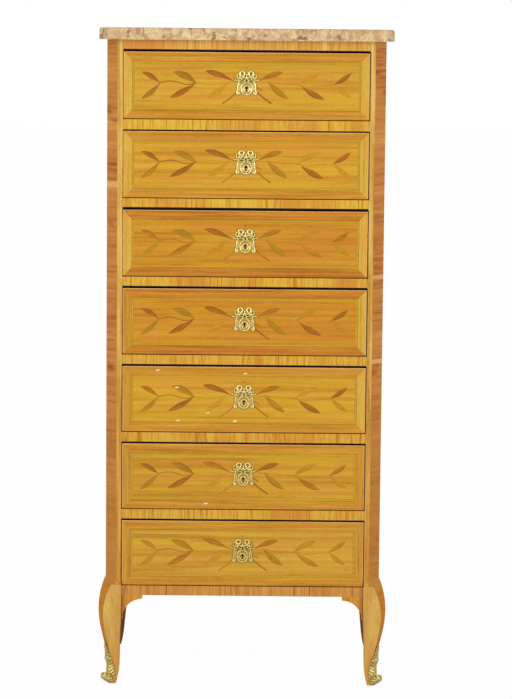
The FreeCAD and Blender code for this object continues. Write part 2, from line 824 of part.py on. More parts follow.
def check(items):
    """Stops if any object failed to compute, or a piece is empty or invalid."""
    for item in doc.Objects:
        if "Invalid" in item.State or "Error" in item.State:
            raise RuntimeError(f"{item.Label} failed: {item.State}")
    for item in items:
        if item.Shape.isNull() or not item.Shape.isValid() or not item.Shape.Solids:
            raise RuntimeError(f"{item.Label} has no valid solid")


def write(items, folder="parts"):
    os.makedirs(folder, exist_ok=True)
    for item in items:
        item.Shape.exportStep(os.path.join(folder, f"{item.Label}.step"))


make_marble_top()
pin_of_shoe = make_shoe_pin()
left_leg, *back_legs = make_frame(pin_of_shoe)
make_inner_boards(*back_legs)
make_sabots(left_leg, pin_of_shoe)
make_drawers()
doc.recompute()
check(subparts)
write(subparts)
print(f"{len(subparts)} pieces, height {(case_top + s.marble_thickness).value:.1f}")
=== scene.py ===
import math

import bmesh
import bpy
from mathutils import Matrix, Vector


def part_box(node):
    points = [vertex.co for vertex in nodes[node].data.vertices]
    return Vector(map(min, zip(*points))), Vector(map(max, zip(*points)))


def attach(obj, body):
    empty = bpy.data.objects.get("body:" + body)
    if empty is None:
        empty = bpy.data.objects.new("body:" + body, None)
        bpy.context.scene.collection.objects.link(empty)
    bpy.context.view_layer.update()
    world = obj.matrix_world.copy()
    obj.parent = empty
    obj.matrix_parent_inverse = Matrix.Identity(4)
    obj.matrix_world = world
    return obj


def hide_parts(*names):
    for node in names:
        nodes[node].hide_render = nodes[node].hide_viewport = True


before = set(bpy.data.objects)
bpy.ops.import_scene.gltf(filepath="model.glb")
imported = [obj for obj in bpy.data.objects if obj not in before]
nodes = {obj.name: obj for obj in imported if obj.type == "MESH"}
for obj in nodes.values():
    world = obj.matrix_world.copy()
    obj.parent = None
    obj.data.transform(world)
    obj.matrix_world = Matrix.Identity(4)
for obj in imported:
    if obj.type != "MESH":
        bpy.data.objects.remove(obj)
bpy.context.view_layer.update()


# Front posts and legs: a post and its cabriole leg are one timber.  The canted corner wears tulipwood
# laid across in short lengths, the narrow strip beside the drawers pale satinwood, and the leg below the
# drawers a tawny veneer with a rounded head.

DRAWER_PITCH = 0.1715


def stain(red, green, blue):
    """A matched colour, 0 to 255 a channel, as a shader takes it."""
    return [((c / 255 + 0.055) / 1.055) ** 2.4 for c in (red, green, blue)] + [1]


class Finish:
    """A finish in the making: its shader, and the nodes that colour it."""

    def __init__(self, name, roughness=0.4, metal=0.0, coat=0.0, shine=0.22):
        self.material = bpy.data.materials.new(name)
        self.material.use_nodes = True
        self.tree = self.material.node_tree
        self.shader = self.tree.nodes["Principled BSDF"]
        flat = {"Roughness": roughness, "Metallic": metal, "Coat Weight": coat,
                "Coat Roughness": 0.2, "Specular IOR Level": shine}
        for socket, value in flat.items():
            self.shader.inputs[socket].default_value = value
        self.sheen = 0 if metal else 0.08 * shine + 0.04 * coat
        source = self.node("ShaderNodeTexCoord")
        self.place = source.outputs["Object"]
        self.facing = source.outputs["Normal"]
        self.cut = source.outputs["UV"]

    def node(self, kind, inputs=None, **settings):
        """One node; an input is a plain value or another node's socket."""
        node = self.tree.nodes.new(kind)
        for name, value in settings.items():
            setattr(node, name, value)
        for slot, value in (inputs or {}).items():
            if isinstance(value, bpy.types.NodeSocket):
                self.tree.links.new(value, node.inputs[slot])
            else:
                node.inputs[slot].default_value = value
        return node

    def tone(self, colour):
        """A colour as it is under the finish's sheen, which lays a little white over it."""
        return [max(c - self.sheen, 0.002) for c in stain(*colour)[:3]] + [1]

    def axes(self, vector):
        return self.node("ShaderNodeSeparateXYZ", {0: vector}).outputs

    def maths(self, operation, *values):
        return self.node("ShaderNodeMath", dict(enumerate(values)), operation=operation).outputs[0]

    def times(self, first, second):
        return self.maths("MULTIPLY", first, second)

    def less(self, value, amount):
        return self.maths("SUBTRACT", value, amount)

    def above(self, value, limit):
        return self.maths("GREATER_THAN", value, limit)

    def below(self, value, limit):
        return self.maths("LESS_THAN", value, limit)

    def near(self, value, spot, reach):
        return self.maths("COMPARE", value, spot, reach)

    def either_side(self, value):
        """The value without its sign, so that left and right are alike."""
        return self.maths("ABSOLUTE", value)

    def added(self, value, share, to):
        """A share of the value, added to another."""
        return self.maths("MULTIPLY_ADD", value, share, to)

    def span(self, value, low, high):
        """0 up to low, 1 from high on, and even between them."""
        return self.node("ShaderNodeMapRange", {0: value, 1: low, 2: high}).outputs[0]

    def up_the_pitch(self, z, start):
        """How far z is from the start of its drawer towards the next drawer's, 0 to 1."""
        return self.maths("FRACT", self.maths("DIVIDE", self.less(z, start), DRAWER_PITCH))

    def noise(self, stretch, detail=3.0, seed=0.0, at=None):
        """Cloudy noise with so many clouds to the metre along each axis."""
        placed = self.node("ShaderNodeMapping", {"Vector": at or self.place, "Scale": stretch,
                                                 "Location": (seed, seed * 1.7, seed * 0.6)})
        cloud = self.node("ShaderNodeTexNoise", {"Vector": placed.outputs[0], "Scale": 1.0,
                                                 "Detail": detail})
        return cloud.outputs["Fac"]

    def ramp(self, value, tones):
        """Colours in a row, the first where the value is 0 and the last where it is 1."""
        ramp = self.node("ShaderNodeValToRGB", {0: value})
        elements = ramp.color_ramp.elements
        for i, tone in enumerate(tones):
            at = i / (len(tones) - 1)
            element = elements[i] if i < 2 else elements.new(at)
            element.position = at
            element.color = self.tone(tone)
        return ramp.outputs[0]

    def mix(self, amount, under, over, how="MIX"):
        inputs = {0: amount, 6: under, 7: over}
        return self.node("ShaderNodeMix", inputs, data_type="RGBA", blend_type=how).outputs[2]

    def lay(self, colour, tone, where, share=1):
        """Lays a tone over the colour in one place, covering it by a share."""
        covered = where if share == 1 else self.times(where, share)
        return self.mix(covered, colour, self.tone(tone))

    def tint(self, colour, tone, where, share=1):
        """Stains the colour in one place, so that what lies under the stain still shows."""
        stain_and_shade = where if share == 1 else self.times(where, share)
        return self.mix(stain_and_shade, colour, stain(*tone), "MULTIPLY")

    def grain(self, stretch, seed=0.0, at=None, fibre=11.0):
        """Broad figure with fine fibres in it, 0 to 1, drawn out along the axis of least stretch."""
        figure = self.noise(stretch, 3.0, seed, at)
        fibres = self.noise([fibre * s for s in stretch], 2.0, seed + 5, at)
        both = self.maths("ADD", self.times(figure, 0.66), self.times(fibres, 0.34))
        return self.span(both, 0.36, 0.64)

    def wood(self, tones, stretch, seed=0.0, at=None):
        """Grain as colour, with dark pores along it."""
        ground = self.ramp(self.grain(stretch, seed, at), tones)
        pores = self.noise([s * 24 for s in stretch], 1.0, seed + 9, at)
        return self.tint(ground, (176, 128, 92), self.span(pores, 0.60, 0.80))

    def done(self, colour, roughen=None, relief=None, depth=0.00006):
        """Joins colour, roughness and a shallow relief to the shader and gives the material."""
        self.tree.links.new(colour, self.shader.inputs["Base Color"])
        if roughen:
            self.tree.links.new(roughen, self.shader.inputs["Roughness"])
        if relief:
            bump = self.node("ShaderNodeBump", {"Height": relief, "Distance": depth, "Strength": 0.6})
            self.tree.links.new(bump.outputs[0], self.shader.inputs["Normal"])
        return self.material


def dress(material, *names):
    """Puts a finish on pieces of the frame."""
    for name in names:
        piece = nodes[name].data
        piece.materials.clear()
        piece.materials.append(material)


TULIPWOOD = [(150, 84, 38), (187, 120, 58), (202, 138, 70), (219, 163, 90)]
PALE_STRIP = [(180, 136, 56), (214, 174, 88), (231, 199, 116)]
GOLD_STRIP = [(174, 112, 46), (200, 144, 64), (214, 164, 80)]
TAWNY = [(192, 145, 72), (209, 168, 87), (220, 183, 99)]
FLANK = [(172, 108, 46), (190, 126, 58), (202, 142, 68)]
PLAIN_OAK = [(132, 96, 60), (160, 120, 78), (178, 140, 96)]
# painted shade for the faces inside the drawers' openings
GAP_SHADE = (56, 30, 14)
OLD_GLUE = (100, 56, 26)


def front_leg_finish():
    leg_head, head_rim = 0.2262, 0.0008
    strip_edge, blur = 0.2790, 0.0005
    glue_edge, left_shade_edge, right_shade_edge, gap_edge, flank_edge = 0.2675, 0.2674, 0.2685, 0.270, 0.284
    unshaded_from, fully_shaded_at = -0.148, -0.156
    ears_below = 0.17
    lowest_floor, drawer_share = 0.2230, 0.872
    let_in = ((-0.30, 1.110, 0.0065), (0.30, 0.912, 0.0045), (0.30, 0.726, 0.0050))
    let_in_reach = 0.03
    finish = Finish("front_leg_veneer", coat=0.08)
    x, y, z = finish.axes(finish.place)
    side = finish.either_side(x)
    out_x, out_y = finish.axes(finish.facing)[:2]
    to_front = finish.times(out_y, -1.0)
    to_side = finish.either_side(out_x)

    # corner: tulipwood laid across, golden lower down, with dark scratches and three let-in pieces
    shade = finish.noise((3, 3, 7), 1.0, 2.0)
    run = finish.grain((6, 6, 120), 2.0, None, 5.0)
    figure = finish.maths("ADD", finish.times(run, 0.34), finish.times(shade, 0.66))
    corner = finish.ramp(finish.span(figure, 0.2, 0.85), TULIPWOOD)
    broad = finish.noise((14, 14, 26), 2.0, 4.0)
    corner = finish.lay(corner, (158, 84, 36), finish.span(broad, 0.60, 0.72))
    scratch = finish.noise((12, 12, 320), 3.0, 7.0)
    patchy = finish.noise((5, 5, 5), 1.0, 1.4)
    strong = finish.times(finish.span(scratch, 0.55, 0.66), finish.span(patchy, 0.40, 0.60))
    corner = finish.lay(corner, (144, 76, 34), strong, 0.65)
    corner = finish.lay(corner, (184, 126, 50), finish.span(z, 0.75, 0.40), 0.55)
    for let_in_x, let_in_z, half_height in let_in:
        here = finish.times(finish.near(z, let_in_z, half_height), finish.near(x, let_in_x, let_in_reach))
        corner = finish.lay(corner, (222, 172, 112), here, 0.8)

    # strip: satinwood, paler towards the top; leg: tawny, darker inside and redder at the foot
    fine = (160, 160, 6)
    strip = finish.mix(finish.span(z, 0.25, 1.30), finish.wood(GOLD_STRIP, fine, 3.0),
                       finish.wood(PALE_STRIP, fine, 3.0))
    tawny = finish.wood(TAWNY, (70, 70, 5), 6.0)
    tawny = finish.lay(tawny, (184, 126, 62), finish.span(side, 0.290, 0.268), 0.35)
    tawny = finish.lay(tawny, (212, 152, 80), finish.span(z, 0.15, 0.04), 0.4)

    # front face: leg below its head, strip and corner above, old glue, and painted shade along the drawers'
    # gaps
    above_leg = finish.above(z, leg_head)
    past_strip = finish.span(side, strip_edge - blur, strip_edge + blur)
    face = finish.mix(above_leg, tawny, finish.mix(past_strip, strip, corner))
    face = finish.lay(face, (150, 92, 38), finish.near(z, leg_head, head_rim), 0.5)
    by_wood = finish.times(finish.above(z, ears_below), 0.3)
    face = finish.lay(face, OLD_GLUE, finish.times(finish.below(side, glue_edge), by_wood))
    # painted shade on the edges beside the drawers, widening the dark gaps; on the left it widens lower
    # down
    by_drawer = finish.times(above_leg, finish.below(finish.up_the_pitch(z, lowest_floor), drawer_share))
    right_edge = finish.times(finish.below(side, right_shade_edge), finish.above(x, 0.0))
    left_edge = finish.below(side, finish.added(finish.span(z, 0.90, 0.66), 0.0009, left_shade_edge))
    painted_gap_shade = finish.times(finish.maths("MAXIMUM", right_edge, left_edge), by_drawer)
    face = finish.lay(face, (68, 38, 15), painted_gap_shade, 0.92)

    # other faces: the flank's veneer, and bare oak inside the drawers' openings, painted darker towards the
    # front as shade in the gaps
    flank = finish.wood(FLANK, (120, 120, 5), 8.0)
    inside = finish.wood(PLAIN_OAK, (90, 90, 4), 4.0)
    inside = finish.lay(inside, GAP_SHADE, finish.span(y, unshaded_from, fully_shaded_at))
    outer = finish.times(finish.above(side, flank_edge), finish.above(to_side, 0.8))
    flank = finish.mix(outer, finish.mix(above_leg, flank, inside), flank)
    canted = finish.times(finish.above(to_front, 0.35), finish.above(to_side, 0.35))
    colour = finish.mix(canted, flank, corner)
    colour = finish.mix(finish.above(to_front, 0.84), colour, face)

    # gloss: more in the gaps beside the drawers, less on the legs' inner faces
    roughness = finish.span(finish.noise((60, 60, 60), 2.0), -0.8, 2.6)
    in_gap = finish.times(finish.above(to_side, 0.8), finish.below(side, gap_edge))
    roughness = finish.added(finish.times(in_gap, above_leg), -0.2, roughness)
    inner_flank = finish.times(finish.above(to_side, 0.6), finish.below(z, leg_head))
    roughness = finish.added(inner_flank, 0.45, roughness)
    return finish.done(colour, roughness, finish.grain((90, 90, 30), 7.0))


dress(front_leg_finish(), "front_left_leg", "front_right_leg")


# Rear posts and legs: plain timbers with their front and outer faces stained a deep red brown; they stand
# flat against the wall and have no canted corner and no shoe.


def rear_leg_finish():
    under_case, by_case = 0.17, 0.24
    finish = Finish("rear_leg_stain", coat=0.05)
    z = finish.axes(finish.place)[2]
    out_x, out_y = finish.axes(finish.facing)[:2]
    stain_and_shade = finish.wood([(92, 50, 26), (122, 71, 38), (142, 88, 50)], (80, 80, 5), 1.0)
    flank = finish.wood(FLANK, (120, 120, 5), 8.0)
    raw = finish.wood(PLAIN_OAK, (90, 90, 4), 4.0)
    outer = finish.above(finish.either_side(out_x), 0.8)
    colour = finish.mix(finish.times(finish.span(z, under_case, by_case), outer), stain_and_shade, flank)
    colour = finish.mix(finish.above(out_y, 0.8), colour, raw)
    return finish.done(colour, None, finish.grain((90, 90, 6), 7.0))


dress(rear_leg_finish(), "rear_left_leg", "rear_right_leg")


# Rails: pine bars faced with short lengths of tulipwood whose grain stands upright, so that each rail
# shows narrow bars of yellow, orange and pink side by side; the top and bottom rails are browner.


def rail_finish(name, tones, orange, joints=(), let_in=None, wear_and_shade=()):
    """Upright grain on the front face, dark along the drawers' gaps.

    Joints are dark seams and let_in is a pale piece, both given by their x.  The last argument holds the
    height of each lower edge and how far up from it painted shade widens the dark gap above the drawer
    below.
    """
    joint_half, let_in_half = 0.0006, 0.005
    rail_to_rail = 3.7
    seam_from, seam_to = 0.2657, 0.2665
    unshaded_from, fully_shaded_at = -0.146, -0.158
    finish = Finish(name, coat=0.08)
    x, y, z = finish.axes(finish.place)
    out_y = finish.axes(finish.facing)[1]
    which = finish.maths("FLOOR", finish.maths("DIVIDE", z, DRAWER_PITCH))
    moved_x = finish.added(which, rail_to_rail, x)
    moved = finish.node("ShaderNodeCombineXYZ", {0: moved_x, 1: y, 2: z}).outputs[0]
    bars = finish.grain((210, 3, 9), 1.0, moved, 5.0)
    colour = finish.ramp(bars, tones)
    broad = finish.noise((13, 2, 2), 4.0, 4.0, moved)
    colour = finish.lay(colour, orange, finish.span(broad, 0.49, 0.62), 0.65)
    if let_in:
        colour = finish.lay(colour, (232, 184, 112), finish.near(x, let_in, let_in_half), 0.8)
    for joint in joints:
        colour = finish.lay(colour, (96, 54, 24), finish.near(x, joint, joint_half))
    end = finish.span(finish.either_side(x), seam_from, seam_to)
    colour = finish.lay(colour, OLD_GLUE, end, 0.4)
    colour = finish.tint(colour, (244, 228, 240), finish.span(z, 1.15, 0.75), 0.5)
    # painted shade along each lower edge, widening the dark gap above the drawer below
    for edge, reach in wear_and_shade:
        colour = finish.lay(colour, (34, 16, 8), finish.near(z, edge, reach))
    # hidden faces: bare oak, painted darker towards the front as shade in the gaps
    hidden = finish.wood(PLAIN_OAK, (4, 90, 90), 4.0)
    hidden = finish.lay(hidden, GAP_SHADE, finish.span(y, unshaded_from, fully_shaded_at))
    front = finish.below(out_y, -0.6)
    return finish.done(finish.mix(front, hidden, colour), finish.added(front, 0.15, 0.25), bars)


rail_gap_shade = ((1.0585, 0.0030), (0.8870, 0.0021), (0.7155, 0.0017), (0.5440, 0.0010), (0.3725, 0.0009))
dress(rail_finish("rail_crossbanding", [(178, 116, 40), (205, 154, 56), (223, 182, 74), (198, 160, 50)],
                  (200, 130, 54), wear_and_shade=rail_gap_shade), "drawer_rails")
dress(rail_finish("top_rail_crossbanding", [(190, 130, 62), (211, 157, 77), (227, 181, 93)],
                  (201, 130, 63), let_in=0.168, wear_and_shade=((1.4015, 0.0022),)), "top_rail")
dress(rail_finish("bottom_rail_crossbanding", [(180, 119, 55), (200, 146, 72), (216, 166, 88)],
                  (194, 131, 61), joints=(-0.167, 0.114, 0.149)), "bottom_rail")


# Ears: small quarter-round blocks glued into the corners between the legs and the case; the two in front
# carry the bottom rail's veneer round their curve.


def ear_finish():
    seam_from, seam_to = 0.2655, 0.2663
    finish = Finish("ear_veneer", coat=0.08)
    x = finish.axes(finish.place)[0]
    out_y = finish.axes(finish.facing)[1]
    colour = finish.wood([(186, 124, 48), (200, 142, 58), (210, 156, 68)], (120, 120, 8), 2.0)
    end = finish.span(finish.either_side(x), seam_from, seam_to)
    colour = finish.lay(colour, OLD_GLUE, finish.times(end, finish.below(out_y, -0.8)), 0.7)
    return finish.done(colour, None, finish.grain((120, 120, 8), 2.0))


dress(ear_finish(), "corner_ears")


# Side panels: boards tongued into the posts and veneered outside with two mirrored leaves of tulipwood
# in a frame of mitred banding with a green line, like the drawer fronts.


def side_panel_finish():
    front_edge, back_edge = -0.138, 0.156
    foot, top = 0.2014, 1.424
    outer_face = 0.3029
    band, half_line, half_seam = 0.030, 0.0015, 0.0004
    lean = 0.09
    finish = Finish("side_veneer", coat=0.08)
    x, y, z = finish.axes(finish.place)
    from_middle = finish.either_side(finish.less(y, (front_edge + back_edge) / 2))
    from_mid_height = finish.either_side(finish.less(z, (foot + top) / 2))
    across = finish.less((back_edge - front_edge) / 2, from_middle)
    up = finish.less((top - foot) / 2, from_mid_height)
    inset = finish.maths("MINIMUM", across, up)
    mirrored = finish.node("ShaderNodeCombineXYZ", {0: x, 1: from_middle, 2: z}).outputs[0]
    leant = finish.node("ShaderNodeMapping", {"Vector": mirrored, "Rotation": (lean, 0, 0)}).outputs[0]
    field = finish.wood([(178, 112, 42), (198, 136, 50), (210, 154, 58), (200, 156, 56)],
                        (40, 46, 2.2), 3.0, leant)
    upright = finish.wood([(188, 126, 46), (206, 150, 58), (218, 168, 70)], (120, 120, 5), 5.0)
    level = finish.wood([(182, 114, 40), (200, 138, 50), (210, 152, 60)], (120, 5, 120), 6.0)
    banding = finish.mix(finish.below(across, up), level, upright)
    colour = finish.mix(finish.above(inset, band), banding, field)
    colour = finish.lay(colour, (170, 148, 50), finish.near(inset, band, half_line))
    mitre = finish.times(finish.near(finish.less(across, up), 0.0, half_seam), finish.below(inset, band))
    colour = finish.lay(colour, (120, 70, 36), mitre, 0.5)
    bare = finish.wood(PLAIN_OAK, (90, 90, 4), 4.0)
    outside = finish.above(finish.either_side(x), outer_face)
    return finish.done(finish.mix(outside, bare, colour), None, finish.grain((90, 90, 8), 7.0))


dress(side_panel_finish(), "left_side_panel", "right_side_panel")


# Back, top and bottom boards, runners, guides and stops: bare oak, planed by hand and browned by age,
# with open joints between the back's boards.


def bare_oak_finish(name, stretch, boards=None):
    """Bare oak with its grain along the axis of least stretch; boards are their width across x."""
    half_joint = 0.006
    finish = Finish(name, 0.62, shine=0.12)
    colour = finish.wood(PLAIN_OAK, stretch, 3.0)
    grime = finish.noise((9, 9, 9), 3.0, 2.0)
    colour = finish.tint(colour, (206, 190, 172), finish.span(grime, 0.45, 0.75))
    if boards:
        row = finish.maths("DIVIDE", finish.axes(finish.place)[0], boards)
        board = finish.node("ShaderNodeTexWhiteNoise", {"W": finish.maths("FLOOR", row)},
                            noise_dimensions="1D").outputs["Value"]
        colour = finish.tint(colour, (190, 164, 134), board, 0.4)
        joint = finish.below(finish.maths("PINGPONG", row, 0.5), half_joint)
        colour = finish.mix(joint, colour, stain(48, 32, 20))
    return finish.done(colour, None, finish.grain(stretch, 5.0), 0.00015)


dress(bare_oak_finish("oak_upright_boards", (70, 70, 3), 0.138), "back_panel")
dress(bare_oak_finish("oak_level_boards", (3, 70, 70)), "top_board", "bottom_board", "drawer_stops")
dress(bare_oak_finish("oak_front_to_back", (70, 3, 70)), "drawer_runners", "drawer_guides")


# Marble top: one slab of cream and mauve breche with a rounded upper edge, held by its own weight.
# Rounded lumps of many sizes lie in a paler ground with fine brown specks and a few dark threads.


def marble_finish():
    lumps_to_metre, grit_to_metre, slabs_to_metre = 66.0, 171.6, 30.0
    finish = Finish("breche_marble", 0.24, shine=0.5)
    wander = finish.node("ShaderNodeTexNoise", {"Vector": finish.place, "Scale": 40.0, "Detail": 2.0})
    shift = finish.node("ShaderNodeVectorMath", {0: wander.outputs["Color"], 1: (0.5, 0.5, 0.5)},
                        operation="SUBTRACT").outputs[0]
    bent = finish.node("ShaderNodeVectorMath", {0: shift, 1: (0.022, 0.022, 0.022), 2: finish.place},
                       operation="MULTIPLY_ADD").outputs[0]

    def lumps(scale, feature="F1"):
        return finish.node("ShaderNodeTexVoronoi", {"Vector": bent, "Scale": scale}, feature=feature)

    small = finish.axes(lumps(lumps_to_metre).outputs["Color"])[0]
    colour = finish.ramp(small, [(220, 192, 146), (198, 162, 120), (212, 180, 134), (184, 142, 112),
                                 (226, 202, 158), (194, 158, 112)])
    grit = finish.axes(lumps(grit_to_metre).outputs["Color"])[2]
    grit_tones = finish.ramp(grit, [(196, 158, 118), (236, 216, 174)])
    colour = finish.mix(finish.times(finish.above(grit, 0.62), 0.55), colour, grit_tones)
    large = lumps(slabs_to_metre)
    mauve = finish.times(finish.above(finish.axes(large.outputs["Color"])[1], 0.66),
                         finish.span(large.outputs["Distance"], 0.50, 0.34))
    cloud = finish.noise((120, 120, 120), 3.0, 2.0)
    mauve_tones = finish.ramp(cloud, [(148, 102, 82), (174, 126, 102), (196, 150, 122)])
    colour = finish.mix(finish.times(mauve, 0.8), colour, mauve_tones)
    thread = lumps(lumps_to_metre, "DISTANCE_TO_EDGE").outputs["Distance"]
    colour = finish.lay(colour, (172, 124, 90), finish.span(thread, 0.07, 0.0), 0.42)
    specks = finish.noise((76, 76, 76), 4.0, 6.0)
    colour = finish.lay(colour, (122, 90, 64), finish.span(specks, 0.60, 0.67), 0.7)
    smoke = finish.noise((40, 40, 40), 3.0, 5.0)
    colour = finish.lay(colour, (168, 152, 104), finish.span(smoke, 0.58, 0.70), 0.35)
    haze = finish.noise((22, 22, 22), 2.0, 9.0)
    colour = finish.tint(colour, (246, 232, 222), finish.span(haze, 0.5, 0.72))
    return finish.done(colour, finish.span(cloud, -0.9, 3.2))


dress(marble_finish(), "marble_top")


# Shoes of the front legs: gilt bronze cast as a pointed leaf that climbs the canted corner, over a toe
# rolled into a scroll, chased with a rib and side veins, and pinned through the ankle.


def gilt_finish(name, tones, roughness):
    """Burnished gilding, bright on the high spots and brown where it lies deep."""
    finish = Finish(name, roughness, metal=1.0)
    height = finish.node("ShaderNodeNewGeometry").outputs["Pointiness"]
    wear_and_shade = finish.noise((420, 420, 420), 3.0, 2.0)
    level = finish.added(wear_and_shade, 0.5, finish.span(height, 0.38, 0.60))
    colour = finish.ramp(finish.less(level, 0.25), tones)
    hammered = finish.noise((900, 900, 900), 2.0, 4.0)
    return finish.done(colour, finish.span(wear_and_shade, -1.2, 4.2), hammered, 0.00005)


def strand(bm, points, radii, closed=False):
    """A rolled strip of wax through points, as thick at each as its radius, added to a pattern."""
    curve = bpy.data.curves.new("strand", "CURVE")
    curve.dimensions = "3D"
    curve.bevel_depth = 1.0
    curve.bevel_resolution = 2
    curve.use_fill_caps = True
    spline = curve.splines.new("NURBS")
    spline.points.add(len(points) - 1)
    for control, point, radius in zip(spline.points, points, radii):
        control.co = (*point, 1)
        control.radius = radius
    spline.order_u = 3
    spline.use_endpoint_u = not closed
    spline.use_cyclic_u = closed
    spline.resolution_u = 6
    bm.from_mesh(bpy.data.meshes.new_from_object(bpy.data.objects.new("strand", curve)))


def knob(bm, place, size):
    """A rounded lump of wax: its place and its three half widths."""
    turn = Matrix.Translation(place) @ Matrix.Diagonal((*size, 1))
    bmesh.ops.create_uvsphere(bm, u_segments=20, v_segments=12, radius=1.0, matrix=turn)


def weld(bm):
    """Joins the loose rims of a pattern and turns its faces outwards."""
    bmesh.ops.remove_doubles(bm, verts=bm.verts, dist=1e-6)
    bmesh.ops.recalc_face_normals(bm, faces=bm.faces)


def mesh_of(name, bm):
    """The mesh of a pattern, which is then put away."""
    mesh = bpy.data.meshes.new(name)
    bm.to_mesh(mesh)
    bm.free()
    return mesh


def cast(name, bm, fineness):
    """Pours the pattern as one skin, so that every part of it runs into the next."""
    weld(bm)
    pattern = bpy.data.objects.new(name, mesh_of(name, bm))
    bpy.context.scene.collection.objects.link(pattern)
    skin = pattern.modifiers.new("skin", "REMESH")
    skin.mode = "VOXEL"
    skin.voxel_size = fineness
    skin.use_smooth_shade = True
    poured = bpy.data.meshes.new_from_object(pattern.evaluated_get(bpy.context.evaluated_depsgraph_get()))
    bpy.data.objects.remove(pattern)
    chased = bmesh.new()
    chased.from_mesh(poured)
    bmesh.ops.smooth_vert(chased, verts=chased.verts, factor=0.5, use_axis_x=True, use_axis_y=True,
                          use_axis_z=True)
    chased.to_mesh(poured)
    chased.free()
    return poured


def piece(name, mesh, materials, body, slot):
    """Hangs a finished mesh on a body of the frame."""
    made = bpy.data.objects.new(name, mesh)
    bpy.context.scene.collection.objects.link(made)
    for material in materials:
        mesh.materials.append(material)
    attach(made, body)
    return made


def between(stations, height):
    """The size at a height, from a list of heights and sizes."""
    for (low, start), (high, end) in zip(stations, stations[1:]):
        if height <= high:
            break
    return start + (end - start) * (height - low) / (high - low)


def leaf_of_shoe():
    """The leaf that climbs the corner: across from the corner's middle, out from the wood, and up."""
    half_widths = [(0.003, 0.0100), (0.016, 0.0112), (0.026, 0.0124), (0.034, 0.0112), (0.042, 0.0094),
                   (0.050, 0.0078), (0.058, 0.0068), (0.066, 0.0054), (0.075, 0.0046), (0.083, 0.0038),
                   (0.088, 0.0024), (0.0915, 0.0006)]
    swells = [(0.003, 0.0046), (0.028, 0.0052), (0.050, 0.0056), (0.066, 0.0048), (0.078, 0.0034),
              (0.0915, 0.0030)]
    foot, tip = half_widths[0][0], half_widths[-1][0]
    leaf = bmesh.new()
    bmesh.ops.create_grid(leaf, x_segments=48, y_segments=84, size=1.0)
    for vert in leaf.verts:
        across = vert.co.x
        z = foot + (tip - foot) * (vert.co.y + 1) / 2
        lobe = 0.0007 * math.cos(z * 760) * min(1, (tip - z) / 0.02)
        u = across * (between(half_widths, z) + lobe)
        rib = 0.0014 * math.exp(-(across * 3.6) ** 2)
        veins = 0.0006 * math.cos(z * 900 - abs(across) * 7) * min(1, 3 * abs(across))
        beads = 0.0004 * math.cos(z * 1500) * math.cos(across * 14)
        fold = 0.0016 * math.exp(-((z - 0.056) / 0.004) ** 2)
        curl = 0.0016 * max(0, (z - 0.080) / 0.0115) ** 2
        lip = 0.0008 * across ** 6
        vert.co = Vector((u, between(swells, z) - 0.0014 + rib + veins + beads + fold + curl + lip, z))
    wall = bmesh.ops.extrude_face_region(leaf, geom=leaf.faces[:])
    inner = [v for v in wall["geom"] if isinstance(v, bmesh.types.BMVert)]
    bmesh.ops.translate(leaf, vec=(0, -0.0064, 0), verts=inner)
    return leaf


def toe_of_shoe():
    """The toe's roll with a volute at each end, across the corner, out from it, and up."""
    heart, height, reach = 0.0080, 0.0148, 0.0124
    toe = bmesh.new()
    roll = [(-reach, heart, height), (-reach / 2, heart, height), (0, heart + 0.0008, height - 0.0006),
            (reach / 2, heart, height), (reach, heart, height)]
    strand(toe, roll, [0.0060, 0.0072, 0.0066, 0.0072, 0.0060])
    for side in (1, -1):
        volute = []
        for i in range(10):
            turn, radius = i * 0.8 + 0.6, 0.0076 - 0.0007 * i
            volute.append((side * (reach - 0.0008 + 0.0002 * i), heart + radius * math.cos(turn),
                           height + radius * math.sin(turn)))
        strand(toe, volute, [0.0019] * len(volute))
        knob(toe, (side * 0.0064, heart - 0.0036, height + 0.0058), (0.0050, 0.0046, 0.0034))
    tongue = [(0, heart + 0.0056, height - 0.0068), (0, heart + 0.0080, height),
              (0, heart + 0.0046, height + 0.0076), (0, heart - 0.0030, height + 0.0104)]
    strand(toe, tongue, [0.0016, 0.0022, 0.0026, 0.0022])
    knob(toe, (0, 0.0016, 0.0072), (0.0120, 0.0064, 0.0046))
    return toe


def shoe_in_place():
    """The left shoe on its foot: the leaf bent round the corner, the toe set square to it."""
    leg_faces = [(0.0, 0.298), (0.042, 0.296), (0.060, 0.2993), (0.075, 0.3020), (0.092, 0.3051)]
    leg_middle_to_front = 0.129
    corner_round = 0.010
    corner_cut = 0.003
    quarter = math.pi / 4
    shoe = leaf_of_shoe()
    for vert in shoe.verts:
        u, out, z = vert.co
        face = between(leg_faces, z)
        turn = max(-quarter, min(quarter, u / corner_round))
        past = u - turn * corner_round
        reach = corner_round + out
        x = face - corner_round + reach * math.cos(quarter + turn) - max(past, 0)
        y = face - corner_round + reach * math.sin(quarter + turn) + min(past, 0)
        vert.co = Vector((-x, leg_middle_to_front - y, z))
    toe = toe_of_shoe()
    for vert in toe.verts:
        u, out, z = vert.co
        corner = between(leg_faces, z) - corner_cut
        x = corner + (out - u) * math.sqrt(0.5)
        y = corner + (out + u) * math.sqrt(0.5)
        vert.co = Vector((-x, leg_middle_to_front - y, max(z, 0.0012)))
    shoe.from_mesh(mesh_of("toe", toe))
    return shoe


shoe_gilding = gilt_finish("shoe_gilding", [(76, 60, 24), (150, 130, 66), (202, 183, 114),
                                            (244, 230, 176)], 0.32)
left_shoe = cast("left_shoe", shoe_in_place(), fineness=0.00055)
right_shoe = left_shoe.copy()
right_shoe.transform(Matrix.Scale(-1, 4, (1, 0, 0)))
right_shoe.flip_normals()
for name, mesh in (("left_shoe", left_shoe), ("right_shoe", right_shoe)):
    shoe = piece(name, mesh, [shoe_gilding], "case", "gilt_bronze")
    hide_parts("front_sabots")


# Escutcheons: thin gilt castings, one to a drawer, all from one pattern: a ribbon bow with pierced loops
# over a keyhole shield with two scrolled feet.  Two pins hold each to its drawer front.


